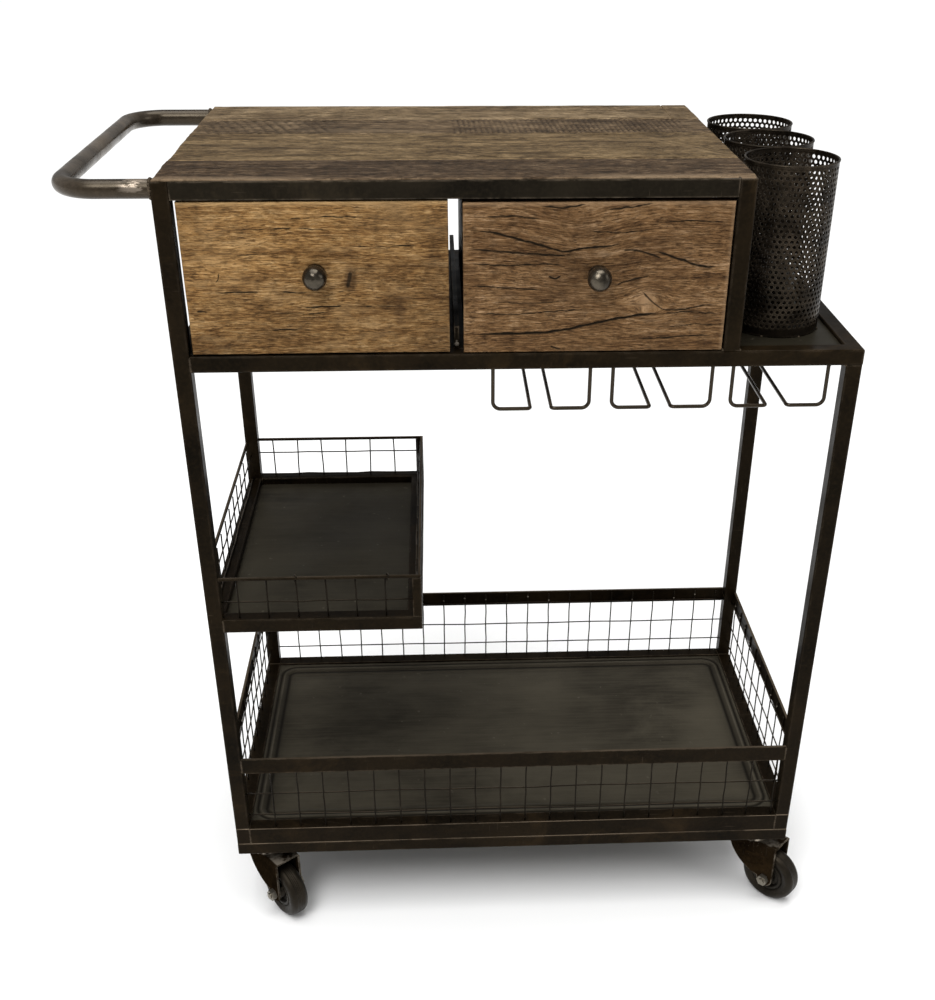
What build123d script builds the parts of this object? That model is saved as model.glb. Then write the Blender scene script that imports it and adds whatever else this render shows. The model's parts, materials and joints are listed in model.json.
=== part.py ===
from build123d import *
import math
import os

# A bar cart: a welded frame of square tube on four swivel casters, with a plank top,
# two drawers, three perforated cups on a side shelf, hanging slots for stemmed glasses
# under the shelf rails, and two wire baskets with sheet-metal floors.
# Millimetres, +Z up. X runs along the cart, with the push handle at the -X end and the
# drawer fronts facing -Y. The origin is on the floor, under the middle of the cart.

# ------------------------------------------------------------------ driving dimensions
frame_length = 700.0          # outer faces of the legs, along X
frame_depth = 385.0           # outer faces of the legs, along Y
drawer_bay_length = 571.0     # from the left legs to the far side of the drawer posts
caster_height = 108.0         # floor to the underside of the base
handle_reach = 101.0          # outer side of the grip, left of the legs
caster_reach = 31.0           # swung-out right wheels, right of the legs
knob_reach = 24.0             # knobs, in front of the legs
top_overhang = 8.0            # plank top, behind the legs

tube = 17.0                   # side of the square tube
tube_wall = 1.5
tube_round = 1.5              # radius on the tube's long edges
strip = 3.0                   # thickness of flat bar and angle iron
sheet = 1.5                   # thickness of sheet metal
weld_gap = 0.1                # root gap where two welded bars meet
wire = 1.8                    # diameter of the mesh wire
wire_bite = 0.4               # how far crossed wires sink into each other at their weld

# levels, from the floor up
base = caster_height
base_top = base + tube
floor_frame_top = base_top + 24.5
floor_step = 3.0              # the pressed middle of the lower floor lies this much lower
floor_border = 16.0           # flat border around the pressed middle
lower_rim_top = base + 151.0
lower_rim_height = 21.0
upper_frame_bottom = base + 333.0
upper_frame_top = upper_frame_bottom + tube
upper_floor_top = base + 341.0
upper_rim_top = base + 404.0
middle_bottom = base + 643.0
middle_top = middle_bottom + tube
shelf_floor_top = base + 656.0
top_rail_bottom = base + 813.0
top_rail_top = top_rail_bottom + tube
plank_bottom = top_rail_bottom + strip
plank_top = base + 832.0
plank_skin = plank_top - top_rail_top      # wood left over the ends of the uprights

# frame lines in plan
left = -(frame_length + caster_reach - handle_reach) / 2
right = left + frame_length
front = -(frame_depth + top_overhang - knob_reach) / 2
back = front + frame_depth
bay_right = left + drawer_bay_length
inner_left = left + tube
inner_right = right - tube
inner_front = front + tube
inner_back = back - tube
post_left = bay_right - tube

# upper basket
upper_right = left + 241.0
upper_post = 10.0             # side of its corner angles
upper_post_wall = 2.0
rim_rod = 4.0                 # diameter of its top rod

# mesh layout: first wire and pitch, measured from the leg's outer face
lower_pitch = 31.3
lower_first_front = 50.1
lower_first_back = 46.2
lower_first_side = 34.0
lower_rows_front = (60.5, 94.0, 131.5)
lower_rows_back = (64.7, 98.0, 133.6)
upper_pitch = 33.0
upper_first_front = 35.8
upper_first_side = 43.0
upper_rows_front = (370.0,)
upper_rows_back = (352.5, 384.5)

# glass slots: centre of each slot and where its rods hang, measured from the left legs
glass_slots = {"left": (370.5, 50.0), "middle": (495.5, 51.5), "right": (618.0, 49.5)}
glass_rod = 4.0
slot_half = 11.0              # slot centre to the axis of each long run
glass_drop = 46.0             # rail underside to the axis of the hanging runs
rod_bend = 8.0                # bend between hanger and ledge
slot_bend = 4.0               # bend between ledge and long run

# push handle
handle_tube = 18.0
handle_wall = 1.5
handle_bend = 40.0
handle_level = base + 822.0

# plank top: edges of the planks, measured from the front face of the legs
plank_edges = (3.0, 86.0, 222.0, 305.0, frame_depth + top_overhang)
plank_names = ("front", "second", "third", "rear")
plank_seam = 0.4              # open joint between planks
end_block = 30.0              # loose block that ends the rear plank at the cups' side

# drawers
drawer_fronts = {"left": (21.0, 277.0, 662.0, 811.0), "right": (291.0, 552.5, 661.0, 809.0)}
drawer_knobs = {"left": (148.0, 742.0), "right": (423.0, 738.5)}
front_recess = 1.0            # drawer front, behind the face of the legs
front_thickness = 16.0
box_wall = 1.2
box_side_gaps = {"left": (4.0, 1.5), "right": (1.5, 4.0)}  # box sides inside the front's ends
box_back_gap = 8.0            # box back to the inside of the rear rail
box_lift = 0.4                # running clearance over the runners
box_height = 130.0
runner_ledge = 20.0
runner_lip = 17.0
centre_runner = 284.0         # middle of the centre runner, from the left legs
centre_flange = 40.0
centre_web = 23.0
centre_web_thickness = 5.0

# knobs and their screws
knob_radius = 12.0
knob_length = 25.0
knob_arc = 107                 # degrees of the ball that are turned
knob_neck = 8.0
knob_neck_start = 7.0          # groove between collar and ball, from the drawer front
knob_neck_end = 8.5
knob_collar = 10.5
knob_collar_height = 3.5
knob_collar_top = 5.5
knob_collar_round = 1.0
screw_radius = 2.0
screw_clearance = 0.2
screw_grip = 11.0             # screw inside the knob
screw_head_radius = 4.0
screw_head = 2.5

# cups
cup_x = 627.0
cup_middle_y = 192.5
cup_pitch = 97.4
cup_outer = 47.5
cup_wall = 1.2
cup_bead = 1.1                # radius of the wire rolled into the rim
cup_height = 175.0

# casters: pivot places from the frame's front left corner, and how far each one has swung
caster_pivots = {
    "front_left": (31.0, 40.0, 39.0),
    "front_right": (frame_length - 31.0, 40.0, 46.0),
    "back_left": (31.0, frame_depth - 40.0, 43.0),
    "back_right": (frame_length - 31.0, frame_depth - 40.0, 50.0),
}
plate_side = 60.0
race_radius = 23.0
race_height = 5.0
swivel_gap = 0.3              # between the fixed race, the turning race and the kingpin head
kingpin_radius = 6.0
kingpin_fit = 0.05
kingpin_head_radius = 9.0
kingpin_head = 3.0
dome_radius = 25.0
dome_height = 7.7
fork_width = 36.0
fork_wall = 2.5
fork_bend = 4.0
fork_rear = 24.0              # fork behind the kingpin
fork_shoulder = 8.0           # straight part of the fork's rear edge
trail = 34.0                  # kingpin to axle
axle_drop = 71.0              # underside of the base to the axle
fork_toe = 11.0               # radius of the fork around the axle
wheel_radius = 37.0
wheel_width = 25.0
wheel_shoulder = 6.0
hub_radius = 21.0
hub_rim = 4.0
hub_width = 21.0
web_width = 9.0
boss_radius = 9.0
boss_width = 30.0
tyre_seat = 0.05              # fit of the tyre on its hub
axle_radius = 4.0
axle_fit = 0.05
bolt_flats = 13.0
bolt_head = 5.3
nut_height = 6.5
bolt_end = 2.0                # thread standing out of the nut


# ------------------------------------------------------------------ helpers
def add_block(x, y, z, mode=Mode.ADD):
    """Add a block that fills the given (low, high) stretches of X, Y and Z."""
    with BuildSketch(Plane.XY.offset(z[0])) as outline:
        with Locations(((x[0] + x[1]) / 2, (y[0] + y[1]) / 2)):
            Rectangle(x[1] - x[0], y[1] - y[0])
    extrude(outline.sketch, amount=z[1] - z[0], mode=mode)


def add_upright(x, y, z):
    """Add an upright square tube with its low corner at x, y and its ends at z."""
    with BuildSketch(Plane.XY.offset(z[0])) as section:
        with Locations((x + tube / 2, y + tube / 2)):
            RectangleRounded(tube, tube, tube_round)
            Rectangle(tube - 2 * tube_wall, tube - 2 * tube_wall, mode=Mode.SUBTRACT)
    extrude(section.sketch, amount=z[1] - z[0])


def add_rail(start, end, inward, bottom, mitres=(False, False)):
    """Add a level square tube whose outer side runs from start to end in plan."""
    along = (Vector(*end) - Vector(*start)).normalized()
    first = Vector(*start) + along * weld_gap
    last = Vector(*end) - along * weld_gap
    inward = Vector(*inward)
    for skin, mode in ((0, Mode.ADD), (tube_wall, Mode.SUBTRACT)):
        near, far = inward * skin, inward * (tube - skin)
        cut_near, cut_far = along * skin, along * (tube - skin)
        corners = [
            first + near + cut_near * mitres[0],
            last + near - cut_near * mitres[1],
            last + far - cut_far * mitres[1],
            first + far + cut_far * mitres[0],
        ]
        with BuildSketch(Plane.XY.offset(bottom + skin)) as outline:
            with BuildLine():
                Polyline(*corners, close=True)
            make_face()
        extrude(outline.sketch, amount=tube - 2 * skin, mode=mode)
        if mode == Mode.ADD:
            long_edges = edges(Select.LAST).filter_by(Axis((0, 0, 0), along))
            fillet(long_edges, radius=tube_round)


def add_rod(points, radii, diameter, bore=0.0):
    """Add a round bar or tube bent along a line of points, with one radius for each corner."""
    with BuildLine() as route:
        FilletPolyline(*points, radius=radii)
    with BuildSketch(Plane(origin=points[0], z_dir=route.line % 0)) as section:
        Circle(diameter / 2)
        if bore:
            Circle(bore / 2, mode=Mode.SUBTRACT)
    sweep(section.sketch, path=route.line)


def add_mesh(corner, along, inside, columns, rows, width, height):
    """Add a welded wire panel: columns are places along it, and rows are heights above its corner."""
    with BuildSketch(Plane(origin=corner, x_dir=along, z_dir=(0, 0, 1))) as upright_wires:
        with Locations(*[(column, 0) for column in columns]):
            Circle(wire / 2)
    extrude(upright_wires.sketch, amount=height)
    row_corner = Vector(*corner) + Vector(*inside) * (wire - wire_bite)
    with BuildSketch(Plane(origin=row_corner, x_dir=(0, 0, 1), z_dir=along)) as level_wires:
        with Locations(*[(row, 0) for row in rows]):
            Circle(wire / 2)
    extrude(level_wires.sketch, amount=width)


def wire_places(first, pitch, end):
    """Places of evenly spaced wires, from the first one to just short of the end."""
    count = int((end - wire - first) / pitch) + 1
    return [first + pitch * number for number in range(count)]


def save(piece, name):
    """Name a finished piece and write it out."""
    piece.part.label = name
    export_step(piece.part, f"parts/{name}.step")


os.makedirs("parts", exist_ok=True)

# ------------------------------------------------------------------ welded frame
with BuildPart() as base_ring:
    add_rail((left, front), (right, front), (0, 1), base, (True, True))
    add_rail((right, front), (right, back), (-1, 0), base, (True, True))
    add_rail((right, back), (left, back), (0, -1), base, (True, True))
    add_rail((left, back), (left, front), (1, 0), base, (True, True))
save(base_ring, "base_ring")

uprights = {
    "leg_front_left": (left, front, base_top, top_rail_top),
    "leg_back_left": (left, inner_back, base_top, top_rail_top),
    "leg_front_right": (inner_right, front, base_top, middle_bottom),
    "leg_back_right": (inner_right, inner_back, base_top, middle_bottom),
    "post_front": (post_left, front, middle_top, top_rail_top),
    "post_back": (post_left, inner_back, middle_top, top_rail_top),
}
for upright_name, (corner_x, corner_y, foot, head) in uprights.items():
    with BuildPart() as upright:
        add_upright(corner_x, corner_y, (foot, head))
    save(upright, upright_name)

with BuildPart() as middle_frame:
    add_rail((inner_left, front), (right, front), (0, 1), middle_bottom, (False, True))
    add_rail((right, front), (right, back), (-1, 0), middle_bottom, (True, True))
    add_rail((right, back), (inner_left, back), (0, -1), middle_bottom, (True, False))
    add_rail((left, inner_back), (left, inner_front), (1, 0), middle_bottom)
    add_rail((post_left, inner_back), (post_left, inner_front), (1, 0), middle_bottom)
save(middle_frame, "middle_frame")

# Angle iron under the planks. The front one also closes the planks' front edge.
with BuildPart() as top_frame:
    front_run = (inner_left + weld_gap, post_left - weld_gap)
    side_run = (inner_front + weld_gap, inner_back - weld_gap)
    ledge_level = (top_rail_bottom, plank_bottom)
    hanging_flange = (plank_bottom - tube, top_rail_bottom)
    add_block(front_run, (front, inner_front), ledge_level)
    add_block(front_run, (front, front + strip), (plank_bottom, top_rail_top))
    add_block(front_run, (inner_back, back), ledge_level)
    add_block(front_run, (back - strip, back), hanging_flange)
    add_block((left, inner_left), side_run, ledge_level)
    add_block((left, left + strip), side_run, hanging_flange)
    add_block((post_left, bay_right), side_run, ledge_level)
    add_block((bay_right - strip, bay_right), side_run, hanging_flange)
save(top_frame, "top_frame")

# ------------------------------------------------------------------ drawer runners
runner_level = (middle_top - strip, middle_top)
runner_run = (inner_front, inner_back)
with BuildPart() as drawer_runner_left:
    add_block((inner_left, inner_left + runner_ledge), runner_run, runner_level)
    add_block((inner_left, inner_left + strip), runner_run, (middle_top, middle_top + runner_lip))
save(drawer_runner_left, "drawer_runner_left")

with BuildPart() as drawer_runner_right:
    add_block((post_left - runner_ledge, post_left), runner_run, runner_level)
    add_block((post_left - strip, post_left), runner_run, (middle_top, middle_top + runner_lip))
save(drawer_runner_right, "drawer_runner_right")

with BuildPart() as drawer_runner_centre:
    middle_x = left + centre_runner
    flange_x = (middle_x - centre_flange / 2, middle_x + centre_flange / 2)
    web_x = (middle_x - centre_web_thickness / 2, middle_x + centre_web_thickness / 2)
    add_block(flange_x, runner_run, runner_level)
    add_block(web_x, runner_run, (middle_top, middle_top + centre_web))
save(drawer_runner_centre, "drawer_runner_centre")

# ------------------------------------------------------------------ lower basket
between_legs_x = (inner_left + weld_gap, inner_right - weld_gap)
between_legs_y = (inner_front + weld_gap, inner_back - weld_gap)

with BuildPart() as lower_floor_frame:
    flange_level = (floor_frame_top - strip, floor_frame_top)
    wall_level = (base_top, floor_frame_top - strip)
    add_block(between_legs_x, (front, inner_front), flange_level)
    add_block(between_legs_x, (front, front + strip), wall_level)
    add_block(between_legs_x, (inner_back, back), flange_level)
    add_block(between_legs_x, (back - strip, back), wall_level)
    add_block((left, inner_left), between_legs_y, flange_level)
    add_block((left, left + strip), between_legs_y, wall_level)
    add_block((inner_right, right), between_legs_y, flange_level)
    add_block((right - strip, right), between_legs_y, wall_level)
save(lower_floor_frame, "lower_floor_frame")

with BuildPart() as lower_tray:
    tray_top = floor_frame_top - strip
    tray_inset = 2 * strip
    tray_x = (left + tray_inset, right - tray_inset)
    tray_y = (front + tray_inset, back - tray_inset)
    pan_x = (inner_left + floor_border, inner_right - floor_border)
    pan_y = (inner_front + floor_border, inner_back - floor_border)
    add_block(tray_x, tray_y, (tray_top - sheet, tray_top))
    with BuildSketch(Plane.XY.offset(tray_top - sheet)):
        with Locations((0.5 * (left + right), 0.5 * (front + back))):
            with GridLocations(frame_length - tube, frame_depth - tube, 2, 2):
                Rectangle(tube + 2 * weld_gap, tube + 2 * weld_gap)
    extrude(amount=sheet, mode=Mode.SUBTRACT)
    add_block(pan_x, pan_y, (tray_top - floor_step - sheet, tray_top - sheet))
    add_block(
        (pan_x[0] + sheet, pan_x[1] - sheet),
        (pan_y[0] + sheet, pan_y[1] - sheet),
        (tray_top - floor_step, tray_top),
        mode=Mode.SUBTRACT,
    )
save(lower_tray, "lower_tray")

with BuildPart() as lower_rim:
    rim_level = (lower_rim_top - lower_rim_height, lower_rim_top)
    add_block(between_legs_x, (front, front + strip), rim_level)
    add_block(between_legs_x, (back - strip, back), rim_level)
    add_block((left, left + strip), between_legs_y, rim_level)
    add_block((right - strip, right), between_legs_y, rim_level)
save(lower_rim, "lower_rim")

lower_mesh_height = lower_rim_top - strip - floor_frame_top
lower_span_x = frame_length - 2 * tube
lower_span_y = frame_depth - 2 * tube
wire_inset = strip + wire / 2
front_rows = [base + row - floor_frame_top for row in lower_rows_front]
back_rows = [base + row - floor_frame_top for row in lower_rows_back]
front_columns = wire_places(lower_first_front - tube, lower_pitch, lower_span_x)
back_columns = wire_places(lower_first_back - tube, lower_pitch, lower_span_x)
side_columns = wire_places(lower_first_side - tube, lower_pitch, lower_span_y)

with BuildPart() as lower_mesh_front:
    mesh_corner = (inner_left, front + wire_inset, floor_frame_top)
    add_mesh(mesh_corner, (1, 0, 0), (0, 1, 0), front_columns, front_rows,
             lower_span_x, lower_mesh_height)
save(lower_mesh_front, "lower_mesh_front")

with BuildPart() as lower_mesh_back:
    mesh_corner = (inner_left, back - wire_inset, floor_frame_top)
    add_mesh(mesh_corner, (1, 0, 0), (0, -1, 0), back_columns, back_rows,
             lower_span_x, lower_mesh_height)
save(lower_mesh_back, "lower_mesh_back")

with BuildPart() as lower_mesh_left:
    mesh_corner = (left + wire_inset, inner_front, floor_frame_top)
    add_mesh(mesh_corner, (0, 1, 0), (1, 0, 0), side_columns, back_rows,
             lower_span_y, lower_mesh_height)
save(lower_mesh_left, "lower_mesh_left")

with BuildPart() as lower_mesh_right:
    mesh_corner = (right - wire_inset, inner_front, floor_frame_top)
    add_mesh(mesh_corner, (0, 1, 0), (-1, 0, 0), side_columns, back_rows,
             lower_span_y, lower_mesh_height)
save(lower_mesh_right, "lower_mesh_right")

# ------------------------------------------------------------------ upper basket
with BuildPart() as upper_frame:
    add_rail((inner_left, front), (upper_right, front), (0, 1), upper_frame_bottom, (False, True))
    add_rail((upper_right, front), (upper_right, back), (-1, 0), upper_frame_bottom, (True, True))
    add_rail((upper_right, back), (inner_left, back), (0, -1), upper_frame_bottom, (True, False))
    add_rail((left, inner_back), (left, inner_front), (1, 0), upper_frame_bottom)
save(upper_frame, "upper_frame")

upper_inner_right = upper_right - tube
with BuildPart() as upper_tray:
    add_block(
        (inner_left, upper_inner_right),
        (inner_front, inner_back),
        (upper_floor_top - sheet, upper_floor_top),
    )
save(upper_tray, "upper_tray")

# Corner angles and the rod along the top edge. The left rod runs between the cart's legs.
with BuildPart() as upper_rim:
    rod_level = upper_rim_top - rim_rod / 2
    post_level = (upper_frame_top, upper_rim_top - rim_rod)
    post_x = (upper_right - upper_post, upper_right)
    post_side_x = (upper_right - upper_post_wall, upper_right)
    add_block(post_x, (front, front + upper_post_wall), post_level)
    add_block(post_side_x, (front, front + upper_post), post_level)
    add_block(post_x, (back - upper_post_wall, back), post_level)
    add_block(post_side_x, (back - upper_post, back), post_level)
    for rod_y in (front + rim_rod / 2, back - rim_rod / 2):
        with BuildSketch(Plane(origin=(inner_left, rod_y, rod_level), z_dir=(1, 0, 0))):
            Circle(rim_rod / 2)
        extrude(amount=upper_right - inner_left)
    for rod_x, rod_run in (
        (left + rim_rod / 2, (inner_front, inner_back)),
        (upper_right - rim_rod / 2, (front + rim_rod / 2, back - rim_rod / 2)),
    ):
        with BuildSketch(Plane(origin=(rod_x, rod_run[0], rod_level), z_dir=(0, 1, 0))):
            Circle(rim_rod / 2)
        extrude(amount=rod_run[1] - rod_run[0])
save(upper_rim, "upper_rim")

upper_mesh_height = upper_rim_top - rim_rod / 2 - upper_frame_top
upper_inset = rim_rod + wire / 2
upper_span_x = upper_right - upper_post_wall - inner_left - upper_inset
upper_columns = wire_places(upper_first_front - tube, upper_pitch, upper_span_x)
upper_side_columns = wire_places(upper_first_side - tube, upper_pitch, lower_span_y)
upper_front_rows = [base + row - upper_frame_top for row in upper_rows_front]
upper_back_rows = [base + row - upper_frame_top for row in upper_rows_back]

with BuildPart() as upper_mesh_front:
    mesh_corner = (inner_left, front + upper_inset, upper_frame_top)
    add_mesh(mesh_corner, (1, 0, 0), (0, 1, 0), upper_columns, upper_front_rows,
             upper_span_x, upper_mesh_height)
save(upper_mesh_front, "upper_mesh_front")

with BuildPart() as upper_mesh_back:
    mesh_corner = (inner_left, back - upper_inset, upper_frame_top)
    add_mesh(mesh_corner, (1, 0, 0), (0, -1, 0), upper_columns, upper_back_rows,
             upper_span_x, upper_mesh_height)
save(upper_mesh_back, "upper_mesh_back")

with BuildPart() as upper_mesh_left:
    mesh_corner = (left + upper_inset, inner_front, upper_frame_top)
    add_mesh(mesh_corner, (0, 1, 0), (1, 0, 0), upper_side_columns, upper_back_rows,
             lower_span_y, upper_mesh_height)
save(upper_mesh_left, "upper_mesh_left")

with BuildPart() as upper_mesh_right:
    mesh_corner = (upper_right - upper_inset, inner_front, upper_frame_top)
    add_mesh(mesh_corner, (0, 1, 0), (-1, 0, 0), upper_side_columns, upper_back_rows,
             lower_span_y, upper_mesh_height)
save(upper_mesh_right, "upper_mesh_right")

# ------------------------------------------------------------------ glass slots
# Each slot is a pair of bent rods. A rod drops from the front rail, turns along its ledge to
# the slot's edge, runs to the back and rises to the rear rail the same way.
hang_front = front + tube / 2
hang_back = back - tube / 2
run_level = middle_bottom - glass_drop
for slot_name, (slot_x, hanger_offset) in glass_slots.items():
    with BuildPart() as glass_slot:
        for side in (-1, 1):
            hanger_x = left + slot_x + side * hanger_offset
            edge_x = left + slot_x + side * slot_half
            route = [
                (hanger_x, hang_front, middle_bottom),
                (hanger_x, hang_front, run_level),
                (edge_x, hang_front, run_level),
                (edge_x, hang_back, run_level),
                (hanger_x, hang_back, run_level),
                (hanger_x, hang_back, middle_bottom),
            ]
            add_rod(route, [rod_bend, slot_bend, slot_bend, rod_bend], glass_rod)
    save(glass_slot, f"glass_slot_{slot_name}")

# ------------------------------------------------------------------ push handle
with BuildPart() as handle:
    grip_x = left - handle_reach + handle_tube / 2
    arm_front = front + handle_tube / 2
    arm_back = back - handle_tube / 2
    route = [
        (left, arm_front, handle_level),
        (grip_x, arm_front, handle_level),
        (grip_x, arm_back, handle_level),
        (left, arm_back, handle_level),
    ]
    add_rod(route, [handle_bend, handle_bend], handle_tube, bore=handle_tube - 2 * handle_wall)
save(handle, "handle")

# ------------------------------------------------------------------ plank top
# The planks lie on the angle iron and are cut out from below over the ends of the uprights.
block_start = bay_right - end_block
for number, plank_name in enumerate(plank_names):
    plank_y = (front + plank_edges[number], front + plank_edges[number + 1] - plank_seam)
    with BuildPart() as plank:
        if plank_name == "rear":
            add_block((left, block_start - plank_seam), plank_y, (plank_bottom, plank_top))
            add_block((block_start, bay_right), plank_y, (plank_bottom, plank_top))
        else:
            add_block((left, bay_right), plank_y, (plank_bottom, plank_top))
        if plank_name in ("front", "rear"):
            pocket_y = (front, inner_front) if plank_name == "front" else (inner_back, back)
            for pocket_x in ((left, inner_left), (post_left, bay_right)):
                add_block(pocket_x, pocket_y, (plank_bottom, top_rail_top), mode=Mode.SUBTRACT)
    save(plank, f"top_plank_{plank_name}")

# ------------------------------------------------------------------ cup shelf
with BuildPart() as shelf_tray:
    shelf_level = (shelf_floor_top - sheet, shelf_floor_top)
    add_block((bay_right, inner_right), (inner_front, inner_back), shelf_level)
save(shelf_tray, "shelf_tray")

for step, cup_name in ((-1, "front"), (0, "middle"), (1, "back")):
    cup_y = front + cup_middle_y + step * cup_pitch
    with BuildPart() as cup:
        cup_corner = (left + cup_x, cup_y, shelf_floor_top)
        with BuildSketch(Plane(origin=cup_corner, x_dir=(1, 0, 0), z_dir=(0, -1, 0))):
            with BuildLine():
                Polyline(
                    (0, 0),
                    (cup_outer, 0),
                    (cup_outer, cup_height),
                    (cup_outer - cup_wall, cup_height),
                    (cup_outer - cup_wall, cup_wall),
                    (0, cup_wall),
                    close=True,
                )
            make_face()
            with Locations((cup_outer - cup_wall + cup_bead, cup_height - cup_bead)):
                Circle(cup_bead)
        revolve(axis=Axis((left + cup_x, cup_y, 0), (0, 0, 1)))
    save(cup, f"cup_{cup_name}")

# ------------------------------------------------------------------ drawers
front_face = front + front_recess
front_inside = front_face + front_thickness
box_bottom = middle_top + box_lift
for side, (x_low, x_high, z_low, z_high) in drawer_fronts.items():
    knob_x = left + drawer_knobs[side][0]
    knob_z = base + drawer_knobs[side][1]
    gap_low, gap_high = box_side_gaps[side]
    box_x = (left + x_low + gap_low, left + x_high - gap_high)
    box_y = (front_inside, inner_back - box_back_gap)

    with BuildPart() as drawer_front:
        add_block((left + x_low, left + x_high), (front_face, front_inside),
                  (base + z_low, base + z_high))
        with BuildSketch(Plane(origin=(knob_x, front_face, knob_z), z_dir=(0, 1, 0))):
            Circle(screw_radius + screw_clearance)
        extrude(amount=front_thickness, mode=Mode.SUBTRACT)
    save(drawer_front, f"drawer_{side}_front")

    # Five sheet panels, spot welded: a floor, a front, a back and two sides.
    wall_z = (box_bottom + box_wall + weld_gap, box_bottom + box_height)
    side_y = (box_y[0] + box_wall + weld_gap, box_y[1] - box_wall - weld_gap)
    with BuildPart() as drawer_box:
        add_block(box_x, box_y, (box_bottom, box_bottom + box_wall))
        add_block(box_x, (box_y[0], box_y[0] + box_wall), wall_z)
        add_block(box_x, (box_y[1] - box_wall, box_y[1]), wall_z)
        add_block((box_x[0], box_x[0] + box_wall), side_y, wall_z)
        add_block((box_x[1] - box_wall, box_x[1]), side_y, wall_z)
        with BuildSketch(Plane(origin=(knob_x, front_inside, knob_z), z_dir=(0, 1, 0))):
            Circle(screw_radius + screw_clearance)
        extrude(amount=box_wall, mode=Mode.SUBTRACT)
    save(drawer_box, f"drawer_{side}_box")

    # The knob is turned about its own axis, and a screw from inside the box holds it.
    with BuildPart() as drawer_knob:
        turning = Plane(origin=(knob_x, front_face, knob_z), x_dir=(1, 0, 0), z_dir=(0, 0, 1))
        turning_axis = Axis((knob_x, front_face, knob_z), (0, -1, 0))
        with BuildSketch(turning):
            with BuildLine():
                ball = CenterArc((0, knob_radius - knob_length), knob_radius, -90, knob_arc)
                Polyline(
                    ball @ 1,
                    (knob_neck, -knob_neck_end),
                    (knob_neck, -knob_neck_start),
                    (knob_collar - knob_collar_round, -knob_collar_top),
                    (knob_collar, -knob_collar_height),
                    (knob_collar, 0),
                    (0, 0),
                    ball @ 0,
                )
            make_face()
        revolve(axis=turning_axis)
        bore_start = Plane(origin=(knob_x, front_face, knob_z), z_dir=(0, -1, 0))
        with BuildSketch(bore_start):
            Circle(screw_radius + weld_gap / 2)
        extrude(amount=screw_grip + weld_gap, mode=Mode.SUBTRACT)
        screw_length = screw_grip + front_thickness + box_wall
        head_start = Plane(origin=(knob_x, front_inside + box_wall, knob_z), z_dir=(0, -1, 0))
        with BuildSketch(head_start):
            Circle(screw_radius)
        extrude(amount=screw_length)
        with BuildSketch(head_start):
            Circle(screw_head_radius)
        extrude(amount=-screw_head)
    save(drawer_knob, f"drawer_{side}_knob")

# ------------------------------------------------------------------ casters
race_bottom = base - strip - race_height
dome_top = race_bottom - swivel_gap
crown_top = dome_top - dome_height
crown_bottom = crown_top - fork_wall
pin_head_top = crown_bottom - swivel_gap
axle_level = base - axle_drop

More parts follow.
